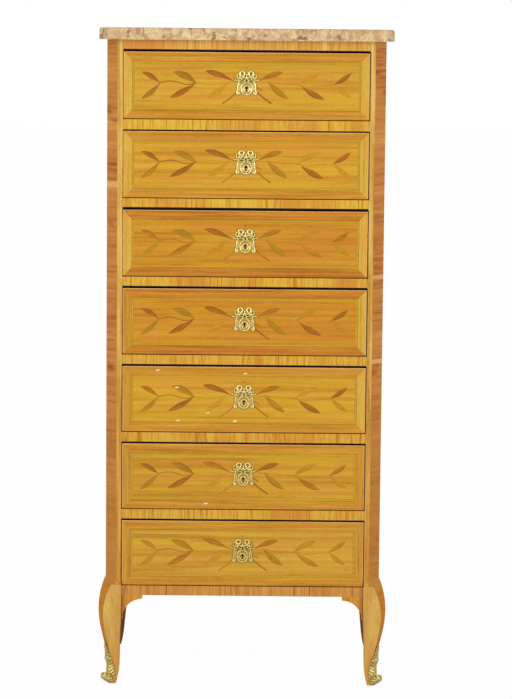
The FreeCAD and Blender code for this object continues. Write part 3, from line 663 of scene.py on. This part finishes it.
def keyhole_outline(play=0.0):
    """The round of the keyhole with its slot below, counted from the middle of the round."""
    radius, half_slot, drop = 0.0026 + play, 0.0012 + play, 0.0075 + play
    start = math.asin(half_slot / radius) - math.pi / 2
    sweep = 2 * math.pi - 2 * math.asin(half_slot / radius)
    turns = [start + sweep * i / 14 for i in range(15)]
    round_part = [(radius * math.cos(a), radius * math.sin(a)) for a in turns]
    return round_part + [(-half_slot, -drop), (half_slot, -drop)]


def sawn(name, outlines, thickness, proud):
    """A flat piece sawn to its outlines, inner ones as holes, lying in a drawer front's face."""
    curve = bpy.data.curves.new(name, "CURVE")
    curve.dimensions = "2D"
    curve.fill_mode = "BOTH"
    curve.extrude = thickness / 2
    for outline in outlines:
        spline = curve.splines.new("POLY")
        spline.points.add(len(outline) - 1)
        for point, (x, z) in zip(spline.points, outline):
            point.co = (x, z, 0, 1)
        spline.use_cyclic_u = True
    mesh = bpy.data.meshes.new_from_object(bpy.data.objects.new(name, curve))
    upright = Matrix.Rotation(math.pi / 2, 4, "X")
    mesh.transform(Matrix.Translation((0, thickness / 2 - proud, 0)) @ upright)
    return mesh


def escutcheon_pattern():
    """The pattern round the keyhole's middle, its back on the plane y = 0; drawn in millimetres."""
    mm = 0.001
    twelfth = 0.524
    shield = [(0, 13), (6, 14), (13, 14.4), (19.4, 10.6), (19.8, 4), (19.4, -2), (20.8, -6.4),
              (23.4, -10.4), (22.8, -14.4), (19, -16.4), (15.2, -15), (12.8, -11.4), (9.4, -13.4),
              (5.4, -16.4), (0, -17.4)]
    bow = [(0, 13), (14, 14), (18.8, 17.6), (21.2, 24), (19, 29.4), (15.6, 31.6), (12, 36), (7, 36),
           (3.4, 32), (0, 28.6)]
    pattern = bmesh.new()

    def oval(x, z, across, up):
        return [(x + across * math.cos(i * twelfth), z + up * math.sin(i * twelfth)) for i in range(12)]

    def plate(half, holes, thickness):
        outline = half + [(-x, z) for x, z in reversed(half[1:-1])]
        outlines = [[(x * mm, z * mm) for x, z in line] for line in [outline, *holes]]
        pattern.from_mesh(sawn("plate", outlines, thickness * mm, thickness * mm))

    def ribbon(points, radii, closed=False, sides=(1, -1)):
        for side in sides:
            spots = [(x * side * mm, -lift * mm, z * mm) for x, z, lift in points]
            strand(pattern, spots, [r * mm for r in radii], closed)

    def boss(x, z, lift, *size):
        for side in ((1, -1) if x else (1,)):
            knob(pattern, (x * side * mm, -lift * mm, z * mm), [s * mm for s in size])

    plate(shield, [[(x / mm, z / mm) for x, z in keyhole_outline(0.0009)]], 1.4)
    plate(bow, [oval(side * x, z, r, r) for side in (1, -1)
                for x, z, r in ((9.6, 30.6, 2.6), (17.8, 25.2, 1.5))], 0.8)

    # bow: an inner and an outer loop a side, crossing ribbons, the knot, the finial and the tails
    ribbon([(4.2, 30, 1.3), (5.8, 34.6, 1.3), (9.8, 35.8, 1.2), (13.6, 34, 1.1), (14.6, 29.8, 1.2),
            (12.2, 26, 1.4), (7.4, 25.2, 1.5)], [2.1] * 7, True)
    ribbon([(14.8, 25, 1.2), (15.8, 29, 1.1), (18.8, 29.8, 1.0), (20.8, 27, 0.9), (20.6, 23, 1.0),
            (18, 20.6, 1.2), (15.4, 21.6, 1.3)], [1.6] * 7, True)
    ribbon([(0.6, 19.4, 1.6), (4.4, 22.6, 1.8), (9.6, 22.6, 1.5), (14.6, 19.2, 1.3), (19, 19.6, 1.0)],
           [1.5, 1.7, 1.7, 1.5, 1.2])
    ribbon([(3, 14.8, 1.4), (7.6, 18.4, 1.6), (12.6, 16.6, 1.4), (17.4, 15.2, 1.4), (22.4, 17.2, 1.6),
            (27.6, 16.4, 1.0)], [1.4, 1.4, 1.3, 1.5, 1.6, 1.1])
    ribbon([(0, 22.6, 1.4), (0.4, 25.6, 1.6), (0, 29.6, 1.2)], [1.8, 1.7, 1.4], sides=(1,))
    ribbon([(1, 28.8, 1.1), (3.2, 30.4, 1.3), (5, 28.2, 1.3)], [1.2, 1.3, 1.2])
    ribbon([(1.2, 15.4, 1.3), (5.2, 12.6, 1.5), (9.6, 13.4, 1.4), (13.4, 12.4, 1.3), (16.4, 14.4, 1.2)],
           [1.3] * 5)
    boss(0, 22.6, 1.8, 2.8, 1.9, 2.5)
    boss(24.6, 16.8, 1.4, 2.9, 1.7, 2.1)
    for x, z in ((3.8, 25.6), (10.8, 19.2), (15.8, 32.4), (5.4, 17.4), (20.8, 20.4), (9.4, 37.4),
                 (7.4, 21.6), (13.4, 22.6), (2.4, 18.2), (13.8, 16.2), (17.4, 18.2)):
        boss(x, z, 1.4, 1.4, 1.4, 1.3)

    # shield: raised sides, a wreath and an inner ring round the keyhole, beads and scrolled feet
    ribbon([(16.4, 15, 1.2), (18.4, 9, 1.4), (19.2, 2, 1.5), (19.2, -4, 1.5), (21, -8, 1.5),
            (22.2, -10.6, 1.4)], [1.4, 1.6, 1.7, 1.6, 1.5, 1.4])
    for across, up, centre, thick in ((12.2, 13.6, -1.6, 1.4), (6.2, 7.6, -2.2, 1.5)):
        ribbon([(x, z, 1.3) for x, z in oval(0, centre, across, up)], [thick] * 12, True, (1,))
    spiral = []
    for i in range(10):
        turn, radius = 0.78 * i + 1.4, 3.9 - 0.34 * i
        spiral.append((18.8 + radius * math.cos(turn), -12 + radius * math.sin(turn), 1.4 + 0.1 * i))
    ribbon(spiral, [1.25] * 9 + [1.8])
    boss(9.2, -4.4, 1.0, 2.4, 1.3, 4.6)
    for z in (7.4, 3.6, -0.4, -4.4):
        boss(15.6, z, 1.0, 1.7, 1.3, 1.7)
    boss(0, -13.4, 1.4, 2.6, 1.5, 1.6)
    return pattern


def escutcheon_finish():
    """Burnished gilding, darker towards the ground of the casting, with painted shade on faces turned away
    from the front; bows and low drawers are duller.
    """
    ground, crown = -0.1748, -0.1774
    lowest_keyhole, below_keyhole = 0.2926, 0.03
    bow_foot, bow_clear = 0.0395, 0.0435
    brightest_height = 0.62
    finish = Finish("escutcheon_gilding", 0.28, metal=1.0)
    y, z = finish.axes(finish.place)[1:]
    out_y = finish.axes(finish.facing)[1]
    wear_and_shade = finish.noise((520, 520, 520), 3.0, 2.0)
    height = finish.span(y, ground, crown)
    edge = finish.span(finish.node("ShaderNodeNewGeometry").outputs["Pointiness"], 0.40, 0.58)
    level = finish.maths("ADD", finish.times(height, 0.62), finish.times(edge, 0.38))
    level = finish.less(finish.added(wear_and_shade, 0.44, level), 0.18)
    # painted shade: faces turned away from the front are darker
    level = finish.added(finish.span(out_y, -0.85, -0.30), -0.42, level)
    bright = finish.ramp(level, [(67, 47, 13), (137, 112, 42), (199, 175, 98), (231, 211, 141),
                                 (251, 235, 192)])
    dull = finish.ramp(level, [(55, 40, 11), (110, 89, 31), (171, 149, 70), (217, 197, 114),
                               (245, 229, 170)])
    above_key = finish.times(finish.up_the_pitch(z, lowest_keyhole - below_keyhole), DRAWER_PITCH)
    dulled = finish.span(finish.either_side(finish.less(z, brightest_height)), -0.2, 0.34)
    in_bow = finish.times(finish.span(above_key, bow_foot, bow_clear), dulled)
    colour = finish.mix(in_bow, bright, dull)
    colour = finish.tint(colour, (236, 228, 206), finish.span(z, 1.30, 0.30))
    hammered = finish.noise((700, 700, 700), 2.0, 4.0)
    return finish.done(colour, finish.span(wear_and_shade, -1.2, 4.2), hammered, 0.00012)


escutcheon_gilding = escutcheon_finish()
escutcheon_cast = cast("escutcheon", escutcheon_pattern(), fineness=0.00042)


# Drawers: oak boxes, their fronts faced with sawn veneer: a mitred band, a green line and a field of
# tulipwood with two laurel sprays cut into it.  Each slides on its runners and carries lock and bolt.

FACE_PROUD = 0.0003
SHEET = 0.0006


def in_each_drawer(part):
    """The names of one part in all seven drawers."""
    return [f"drawer_{number}_{part}" for number in range(1, 8)]


def drawer_front_finish():
    """The solid front: a pale rim round the veneer, worn and painted lighter as a highlight, with painted
    shade along its lower edge; its edges are painted dark near the front as shade in the gaps, bare oak
    further back.
    """
    lowest_foot, lap, rim_share = 0.2241, 0.001, 0.02
    shade_to, less_at_sides, blur = -0.1620, -0.0085, 0.0015
    finish = Finish("drawer_front_wood", 0.5, shine=0.0)
    y, z = finish.axes(finish.place)[1:]
    out_x, out_y = finish.axes(finish.facing)[:2]
    # rim: wear and a painted highlight round the veneer; its lower edge painted dark as shade in the gap
    # below
    rim_wear_and_highlight = finish.wood([(212, 154, 74), (234, 190, 128), (220, 166, 92)], (8, 60, 60), 2.0)
    shaded_lower_edge = finish.below(finish.up_the_pitch(z, lowest_foot - lap), rim_share)
    rim_wear_and_highlight = finish.lay(rim_wear_and_highlight, (112, 68, 30), shaded_lower_edge)
    # edges: painted dark near the front as shade in the gaps, bare oak further back
    stain_and_shade = finish.wood([(60, 31, 14), (76, 42, 20), (94, 56, 30)], (4, 90, 90), 3.0)
    bare = finish.wood(PLAIN_OAK, (4, 90, 90), 3.0)
    to_side = finish.above(finish.either_side(out_x), 0.8)
    bare_from = finish.added(to_side, less_at_sides, shade_to)
    edges = finish.mix(finish.span(finish.less(y, bare_from), -blur, blur), stain_and_shade, bare)
    colour = finish.mix(finish.below(out_y, -0.8), edges, rim_wear_and_highlight)
    colour = finish.mix(finish.above(out_y, 0.8), colour, bare)
    return finish.done(colour, None, finish.grain((4, 90, 90), 3.0))


def field_finish(name, tone):
    """Level tulipwood, streaked orange and straw."""
    along_x = (2.8, 60, 120)
    finish = Finish(name, coat=0.08)
    red, green, blue = tone
    colour = finish.wood([(red - 22, green - 24, blue - 10), (red - 3, green - 4, blue),
                          (red + 7, green + 9, blue + 8)], along_x, 1.0)
    drift = finish.noise((4, 30, 52), 4.0, 3.0)
    orange, straw = (red + 2, green - 15, blue), (red - 2, green + 12, blue - 6)
    colour = finish.lay(colour, orange, finish.span(drift, 0.46, 0.36), 0.5)
    colour = finish.lay(colour, straw, finish.span(drift, 0.53, 0.64), 0.65)
    return finish.done(colour, None, finish.grain(along_x, 1.0))


def banding_finish(name, tones, level, blotch=None):
    """Banding with its grain along the strip: level strips run in x, the others upright."""
    finish = Finish(name, coat=0.08)
    stretch = (4, 90, 150) if level else (190, 90, 5)
    colour = finish.wood(tones, stretch, 4.0)
    if blotch:
        drift = finish.noise([0.25 * s for s in stretch] if level else (60, 60, 16), 3.0, 8.0)
        colour = finish.lay(colour, blotch, finish.span(drift, 0.50, 0.62), 0.6)
    return finish.done(colour, None, finish.grain(stretch, 4.0))


def leaf_finish(name, tone, depth):
    """A laurel leaf, scorched in hot sand along one edge; depth is how dark the scorching is."""
    finish = Finish(name, coat=0.08)
    lighter = [min(c * 1.06, 255) for c in tone]
    darker = [c * 0.94 for c in tone]
    colour = finish.wood([darker, tone, lighter], (40, 60, 120), 2.0)
    from_edge = finish.axes(finish.cut)[1]
    colour = finish.tint(colour, (188, 146, 100), finish.span(from_edge, 0.45, 0.0), depth)
    return finish.done(colour, None, finish.grain((40, 60, 120), 2.0))


def slip(bm, points, widths, wood, steps=14):
    """A slip of veneer along a smooth line through points, cut at each to its width, in millimetres."""
    mm = 0.001
    hair = 0.0000003
    bm.loops.layers.uv.verify()
    lift = hair * len(bm.faces)
    made = bmesh.ops.create_grid(bm, x_segments=steps, y_segments=2, size=1.0, calc_uvs=True)["verts"]
    last = len(points) - 1
    for vert in made:
        share = (vert.co.x + 1) / 2 * last
        i = min(int(share), last - 1)
        t = share - i
        before, start, end, after = (Vector(points[max(0, min(last, i + k))]) for k in (-1, 0, 1, 2))
        pull = end - before
        bend = 2 * before - 5 * start + 4 * end - after
        twist = 3 * start - before - 3 * end + after
        middle = 0.5 * (2 * start + pull * t + bend * t ** 2 + twist * t ** 3)
        run = 0.5 * (pull + 2 * bend * t + 3 * twist * t ** 2)
        side = Vector((-run.y, run.x)).normalized()
        width = widths(share / last) if callable(widths) else widths
        spot = middle + side * vert.co.y * width / 2
        vert.co = Vector((spot.x * mm, -lift, spot.y * mm))
    for face in {f for v in made for f in v.link_faces}:
        face.material_index = wood


def leaf(bm, base, tip, width, bow, wood, belly=0.52):
    """A pointed leaf from base to tip, bowed to one side and fullest at the belly."""
    base, tip = Vector(base), Vector(tip)
    out = Vector((base.y - tip.y, tip.x - base.x)).normalized() * bow
    power = math.log(0.5) / math.log(belly)

    def width_at(share):
        return 0.25 + width * math.sin(math.pi * min(max(share, 0), 1) ** power) ** 1.15

    slip(bm, [base, base.lerp(tip, 0.35) + out, base.lerp(tip, 0.7) + out * 0.9, tip], width_at, wood)


RED, GREEN, STEM = 0, 4, 8
BARE = 12


def spray(bm, left, right):
    """Both laurel sprays, in millimetres from the front's middle; left and right say how well they show."""
    leaf(bm, (-188, 6.5), (-227, 29), 10.5, -2.0, RED + left[0])
    leaf(bm, (-188, 4.5), (-228, -29.5), 11.0, 2.5, GREEN + left[1])
    slip(bm, [(-190, 5.6), (-176, 8.4), (-164, 9.8), (-151, 8), (-138, 3.8), (-128, 2.2), (-119, 3.6),
              (-107, 6.2)], 2.2, STEM + left[2], 28)
    leaf(bm, (-108, 5.4), (-158.5, 29.5), 15.0, -3.0, GREEN + left[3])
    leaf(bm, (-111, 4.5), (-166.5, -26.5), 12.0, 1.8, RED + left[4])
    leaf(bm, (-24, 8), (-90, 32.4), 12.0, -2.6, RED + left[5], 0.62)
    leaf(bm, (-40, 8), (-86, -26), 12.0, 3.0, GREEN + left[6])
    slip(bm, [(-106, 6), (-84, 3), (-60, 4), (-36, 7)], 1.6, STEM)
    slip(bm, [(-22, -14), (-34, -25), (-52, -38)], 3.4, STEM + left[7])
    leaf(bm, (22, 9), (78.5, 30.5), 11.5, 2.6, RED + right[5], 0.62)
    leaf(bm, (45, 12), (90.5, -27), 13.5, -2.6, GREEN + right[6])
    slip(bm, [(30, 9), (56, 8), (77, 5.5), (96, 5.4), (110, 4.4)], 1.6,
         STEM + right[2] - (right[2] > 1), 20)
    slip(bm, [(108, 4.6), (117, 3), (126, -2)], 2.2, STEM + right[2])
    leaf(bm, (120, -1), (168, -27.5), 12.5, -1.6, RED + right[4])
    leaf(bm, (112, 4), (162, 29), 12.0, 3.0, GREEN + right[3])
    slip(bm, [(126, -2), (158, 2), (192, 5)], 1.6, STEM)
    leaf(bm, (188.5, 5), (226.5, 30), 10.0, -1.6, RED + right[0])
    leaf(bm, (191, 4.5), (227, -23), 10.5, -2.0, GREEN + right[1])
    slip(bm, [(22, -13), (36, -24.5), (54, -37.5)], 3.8, STEM + right[7])
    slip(bm, [(23, -3), (28, -6), (34, -9)], 4.0, STEM + max(right[7] - 1, 0), 6)
    slip(bm, [(-0.6, 37.5), (0, 39.5), (0.6, 41.5)], 3.2, STEM + 2, 4)


def thicken(bm, proud, thickness):
    """Gives flat slips their thickness, the face standing proud of the drawer front."""
    bmesh.ops.remove_doubles(bm, verts=bm.verts, dist=1e-6)
    body = bmesh.ops.extrude_face_region(bm, geom=bm.faces[:])
    backs = [v for v in body["geom"] if isinstance(v, bmesh.types.BMVert)]
    bmesh.ops.translate(bm, vec=(0, thickness, 0), verts=backs)
    bmesh.ops.translate(bm, vec=(0, -proud, 0), verts=bm.verts)
    bmesh.ops.recalc_face_normals(bm, faces=bm.faces)


def add_sawn(sheet, outlines, wood):
    """Saws a strip or a field from one of the sheet's woods and joins it to the sheet."""
    mesh = sawn("strip", outlines, SHEET, FACE_PROUD)
    for face in mesh.polygons:
        face.material_index = wood
    strip = bmesh.new()
    strip.from_mesh(mesh)
    weld(strip)
    strip.to_mesh(mesh)
    strip.free()
    sheet.from_mesh(mesh)


def veneer(drawer, part, sheet, woods, middle):
    """Lays a sheet, cut round the middle of a front, on its drawer."""
    name = f"{drawer}_{part}"
    mesh = mesh_of(name, sheet)
    mesh.transform(Matrix.Translation(middle))
    piece(name, mesh, woods, drawer, "veneered_front")


def frame_outline(x, z):
    """A rectangle's corners, x and z from its middle to its edges."""
    return [(-x, -z), (x, -z), (x, z), (-x, z)]


LEVEL_BAND = [(178, 116, 42), (197, 140, 53), (211, 156, 62)]
LEVEL_BAND_RED = [(170, 100, 40), (190, 125, 49), (204, 142, 58)]
PALE_BAND = [(188, 140, 54), (206, 162, 66), (216, 176, 80), (188, 158, 60)]
BROWN_BAND = [(176, 118, 46), (195, 143, 56), (208, 160, 68)]
bands = {
    "level": banding_finish("band_level", LEVEL_BAND, True, (204, 140, 60)),
    "level_red": banding_finish("band_level_red", LEVEL_BAND_RED, True, (196, 122, 48)),
    "pale": banding_finish("band_upright_pale", PALE_BAND, False, (214, 154, 66)),
    "brown": banding_finish("band_upright_brown", BROWN_BAND, False, (200, 138, 54)),
}
line_edge = banding_finish("green_line_edge", [(136, 104, 34), (154, 120, 40)], True)
line_light = banding_finish("green_line_light", [(184, 142, 43), (196, 154, 48), (204, 163, 55)], True)
line_faint = banding_finish("green_line_faint", [(168, 130, 40), (182, 142, 46)], True)
FIELD_TONE = (201, 146, 48)
SHOWN = (0.14, 0.40, 0.7, 1.0)
laurel = []
for wood, full, depth in (("red", (164, 106, 34), 0.5), ("green", (162, 121, 38), 0.4),
                          ("stem", (162, 106, 34), 0.0)):
    for shown, share in enumerate(SHOWN):
        faded = [ground + (c - ground) * share for c, ground in zip(full, FIELD_TONE)]
        laurel.append(leaf_finish(f"laurel_{wood}_{shown}", faded, depth * share))
laurel.append(leaf_finish("bare_chip", (240, 222, 180), 0.0))

# each drawer: field colour, level band, left band, right band, how well the pieces of each spray show
# (0 to 3: tip leaves, stem, middle leaves, inner leaves, stalk), and where the polish is chipped
DRAWERS = [
    ((206, 156, 57), "level", "pale", "pale", (3, 3, 3, 3, 3, 3, 0, 2), (3, 0, 1, 0, 3, 2, 2, 3), ()),
    ((207, 155, 55), "level", "pale", "pale", (3, 2, 3, 2, 3, 3, 0, 1), (3, 0, 1, 0, 3, 2, 2, 2), ()),
    ((202, 143, 51), "level_red", "pale", "pale", (2, 1, 2, 2, 2, 3, 1, 1), (2, 1, 1, 1, 1, 2, 2, 2), ()),
    ((202, 141, 49), "level_red", "brown", "pale", (3, 2, 3, 2, 3, 3, 0, 0), (3, 1, 1, 1, 3, 2, 2, 3), ()),
    ((207, 156, 54), "level", "brown", "pale", (2, 2, 2, 2, 3, 3, 0, 1), (3, 1, 1, 0, 3, 2, 2, 2),
     ((-189, 64), (3, 58), (-147, 26), (-79, -30), (-144, -47.5), (-19, -47.5))),
    ((203, 153, 54), "level", "brown", "brown", (3, 2, 2, 3, 3, 2, 0, 1), (2, 1, 1, 1, 2, 3, 2, 3),
     ((-82, -60),)),
    ((205, 156, 59), "level", "brown", "brown", (1, 1, 2, 2, 2, 2, 0, 1), (1, 1, 1, 1, 1, 2, 2, 2), ()),
]
RIM = 0.0012
LEVEL_WIDTH, UPRIGHT_WIDTH = 0.0185, 0.0172
LINE_WIDTH, LINE_EDGE = 0.0050, 0.0009
KEY_PLAY = 0.0008
KEY_DROP = 0.0765
LAUREL_PROUD, LAUREL_SHEET = 0.00045, 0.0004

for number, (tone, level, left, right, left_shows, right_shows, chips) in enumerate(DRAWERS, 1):
    drawer = f"drawer_{number}"
    low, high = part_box(f"{drawer}_front")
    middle = Vector(((low.x + high.x) / 2, low.y, (low.z + high.z) / 2))
    half_x, half_z = (high.x - low.x) / 2 - RIM, (high.z - low.z) / 2 - RIM
    band_x, band_z = half_x - UPRIGHT_WIDTH, half_z - LEVEL_WIDTH
    key_z = high.z - KEY_DROP - middle.z

    banding = bmesh.new()
    for up in (1, -1):
        add_sawn(banding, [[(-half_x, up * half_z), (half_x, up * half_z),
                            (band_x, up * band_z), (-band_x, up * band_z)]], 0)
    for wood, out in ((1, -1), (2, 1)):
        add_sawn(banding, [[(out * half_x, half_z), (out * half_x, -half_z),
                            (out * band_x, -band_z), (out * band_x, band_z)]], wood)
    veneer(drawer, "banding", banding, [bands[level], bands[left], bands[right]], middle)

    line = bmesh.new()
    outlines = [frame_outline(band_x - w, band_z - w)
                for w in (0, LINE_EDGE, LINE_WIDTH - LINE_EDGE, LINE_WIDTH)]
    for wood in range(3):
        add_sawn(line, outlines[wood:wood + 2], wood)
    veneer(drawer, "green_line", line, [line_edge, line_light, line_faint], middle)

    field = bmesh.new()
    hole = [(x, z + key_z) for x, z in keyhole_outline(KEY_PLAY)]
    add_sawn(field, [frame_outline(band_x - LINE_WIDTH, band_z - LINE_WIDTH), hole], 0)
    veneer(drawer, "field", field, [field_finish(f"{drawer}_field_veneer", tone)], middle)

    sprays = bmesh.new()
    spray(sprays, left_shows, right_shows)
    for index, (x, z) in enumerate(chips):
        leaf(sprays, (x - 5, z - 0.6), (x + 5, z + 0.8), 2.6 + 0.4 * (index % 3), 0.3, BARE)
    thicken(sprays, LAUREL_PROUD, LAUREL_SHEET)
    veneer(drawer, "laurel", sprays, laurel, middle)

    bow = escutcheon_cast.copy()
    bow.transform(Matrix.Translation(middle + Vector((0, -FACE_PROUD / 2, key_z))))
    ornament = piece(f"{drawer}_bow_escutcheon", bow, [escutcheon_gilding], drawer, "gilt_bronze")
    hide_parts(f"{drawer}_escutcheon")

dress(drawer_front_finish(), *in_each_drawer("front"))
dress(bare_oak_finish("drawer_side_oak", (70, 3, 60)), *in_each_drawer("walls"))
dress(bare_oak_finish("drawer_bottom_oak", (3, 60, 70)), *in_each_drawer("bottom"))


# Locks and bolts: an iron box let into the back of each front and screwed there, with its bolt on top.
# The iron is filed and browned by age, and the bolt is rubbed brighter.


def iron_finish(name, tones, roughness):
    """Filed iron with a little rust."""
    finish = Finish(name, roughness, metal=0.9)
    rust = finish.noise((300, 300, 300), 4.0, 1.0)
    filing = finish.noise((40, 900, 900), 2.0, 2.0)
    return finish.done(finish.ramp(rust, tones), finish.span(rust, -0.3, 1.5), filing, 0.00004)


dress(iron_finish("lock_iron", [(48, 40, 34), (84, 76, 68), (112, 92, 72)], 0.5),
      *in_each_drawer("lock"))
dress(iron_finish("bolt_iron", [(92, 88, 82), (140, 136, 130), (168, 164, 158)], 0.35),
      *in_each_drawer("bolt"))


# Floor, light and camera: a pale floor under an even white room, with a broad soft light on each side in
# front.


def room():
    """Even light from all round, which is plain white to the camera, in metal and through glass."""
    on_object, seen_as = 0.60, 1.0
    world = bpy.data.worlds.new("white_room")
    bpy.context.scene.world = world
    world.use_nodes = True
    tree = world.node_tree
    sky = tree.nodes["Background"]
    rays = tree.nodes.new("ShaderNodeLightPath").outputs
    seen = rays["Is Camera Ray"]
    for kind in ("Is Glossy Ray", "Is Transmission Ray"):
        either = tree.nodes.new("ShaderNodeMath")
        either.operation = "MAXIMUM"
        tree.links.new(seen, either.inputs[0])
        tree.links.new(rays[kind], either.inputs[1])
        seen = either.outputs[0]
    level = tree.nodes.new("ShaderNodeMapRange")
    tree.links.new(seen, level.inputs["Value"])
    level.inputs["To Min"].default_value = on_object
    level.inputs["To Max"].default_value = seen_as
    tree.links.new(level.outputs[0], sky.inputs["Strength"])
    sky.inputs["Color"].default_value = (1, 1, 1, 1)


def floor():
    """A pale floor that keeps the chest's shadow and is white where the camera sees it."""
    finish = Finish("pale_floor", 0.7, shine=0.2)
    finish.shader.inputs["Base Color"].default_value = (0.95, 0.95, 0.95, 1)
    seen = finish.node("ShaderNodeLightPath").outputs["Is Camera Ray"]
    glow = finish.node("ShaderNodeEmission", {"Strength": 1.0})
    blend = finish.node("ShaderNodeMixShader", {0: finish.times(seen, 0.97),
                                                1: finish.shader.outputs[0], 2: glow.outputs[0]})
    output = finish.tree.nodes["Material Output"]
    finish.tree.links.new(blend.outputs[0], output.inputs["Surface"])
    bm = bmesh.new()
    bmesh.ops.create_grid(bm, x_segments=1, y_segments=1, size=30)
    mesh = mesh_of("floor", bm)
    mesh.materials.append(finish.material)
    ground = bpy.data.objects.new("floor", mesh)
    ground.location.z = -0.0005
    bpy.context.scene.collection.objects.link(ground)


def lamp(name, place, target, width, height, watts):
    """A broad soft light, turned towards its target."""
    light = bpy.data.lights.new(name, "AREA")
    light.shape = "RECTANGLE"
    light.size = width
    light.size_y = height
    light.energy = watts
    hung = bpy.data.objects.new(name, light)
    hung.location = place
    hung.rotation_euler = (Vector(target) - Vector(place)).to_track_quat("-Z", "Y").to_euler()
    bpy.context.scene.collection.objects.link(hung)


def camera():
    """Level with the top and a little tilted, straight in front of the chest."""
    view = bpy.data.cameras.new("camera")
    view.lens = 118.74
    view.sensor_width = 36
    view.shift_y = -0.13
    stand = bpy.data.objects.new("camera", view)
    level, tilt, lean = (math.radians(a) for a in (-0.028, 90 - 5.578, 0.537))
    aim = Matrix.Rotation(level, 4, "Z") @ Matrix.Rotation(tilt, 4, "X") @ Matrix.Rotation(lean, 4, "Z")
    stand.matrix_world = Matrix.Translation((0.0213, -5.174, 1.4393)) @ aim
    bpy.context.scene.collection.objects.link(stand)
    bpy.context.scene.camera = stand


room()
floor()
lamp("left_light", (-2.6, -3.4, 2.2), (0, 0, 0.8), 1.8, 2.6, 60)
lamp("right_light", (2.6, -3.4, 2.0), (0, 0, 0.7), 1.8, 2.6, 50)
camera()
bpy.context.scene.view_settings.view_transform = "Standard"
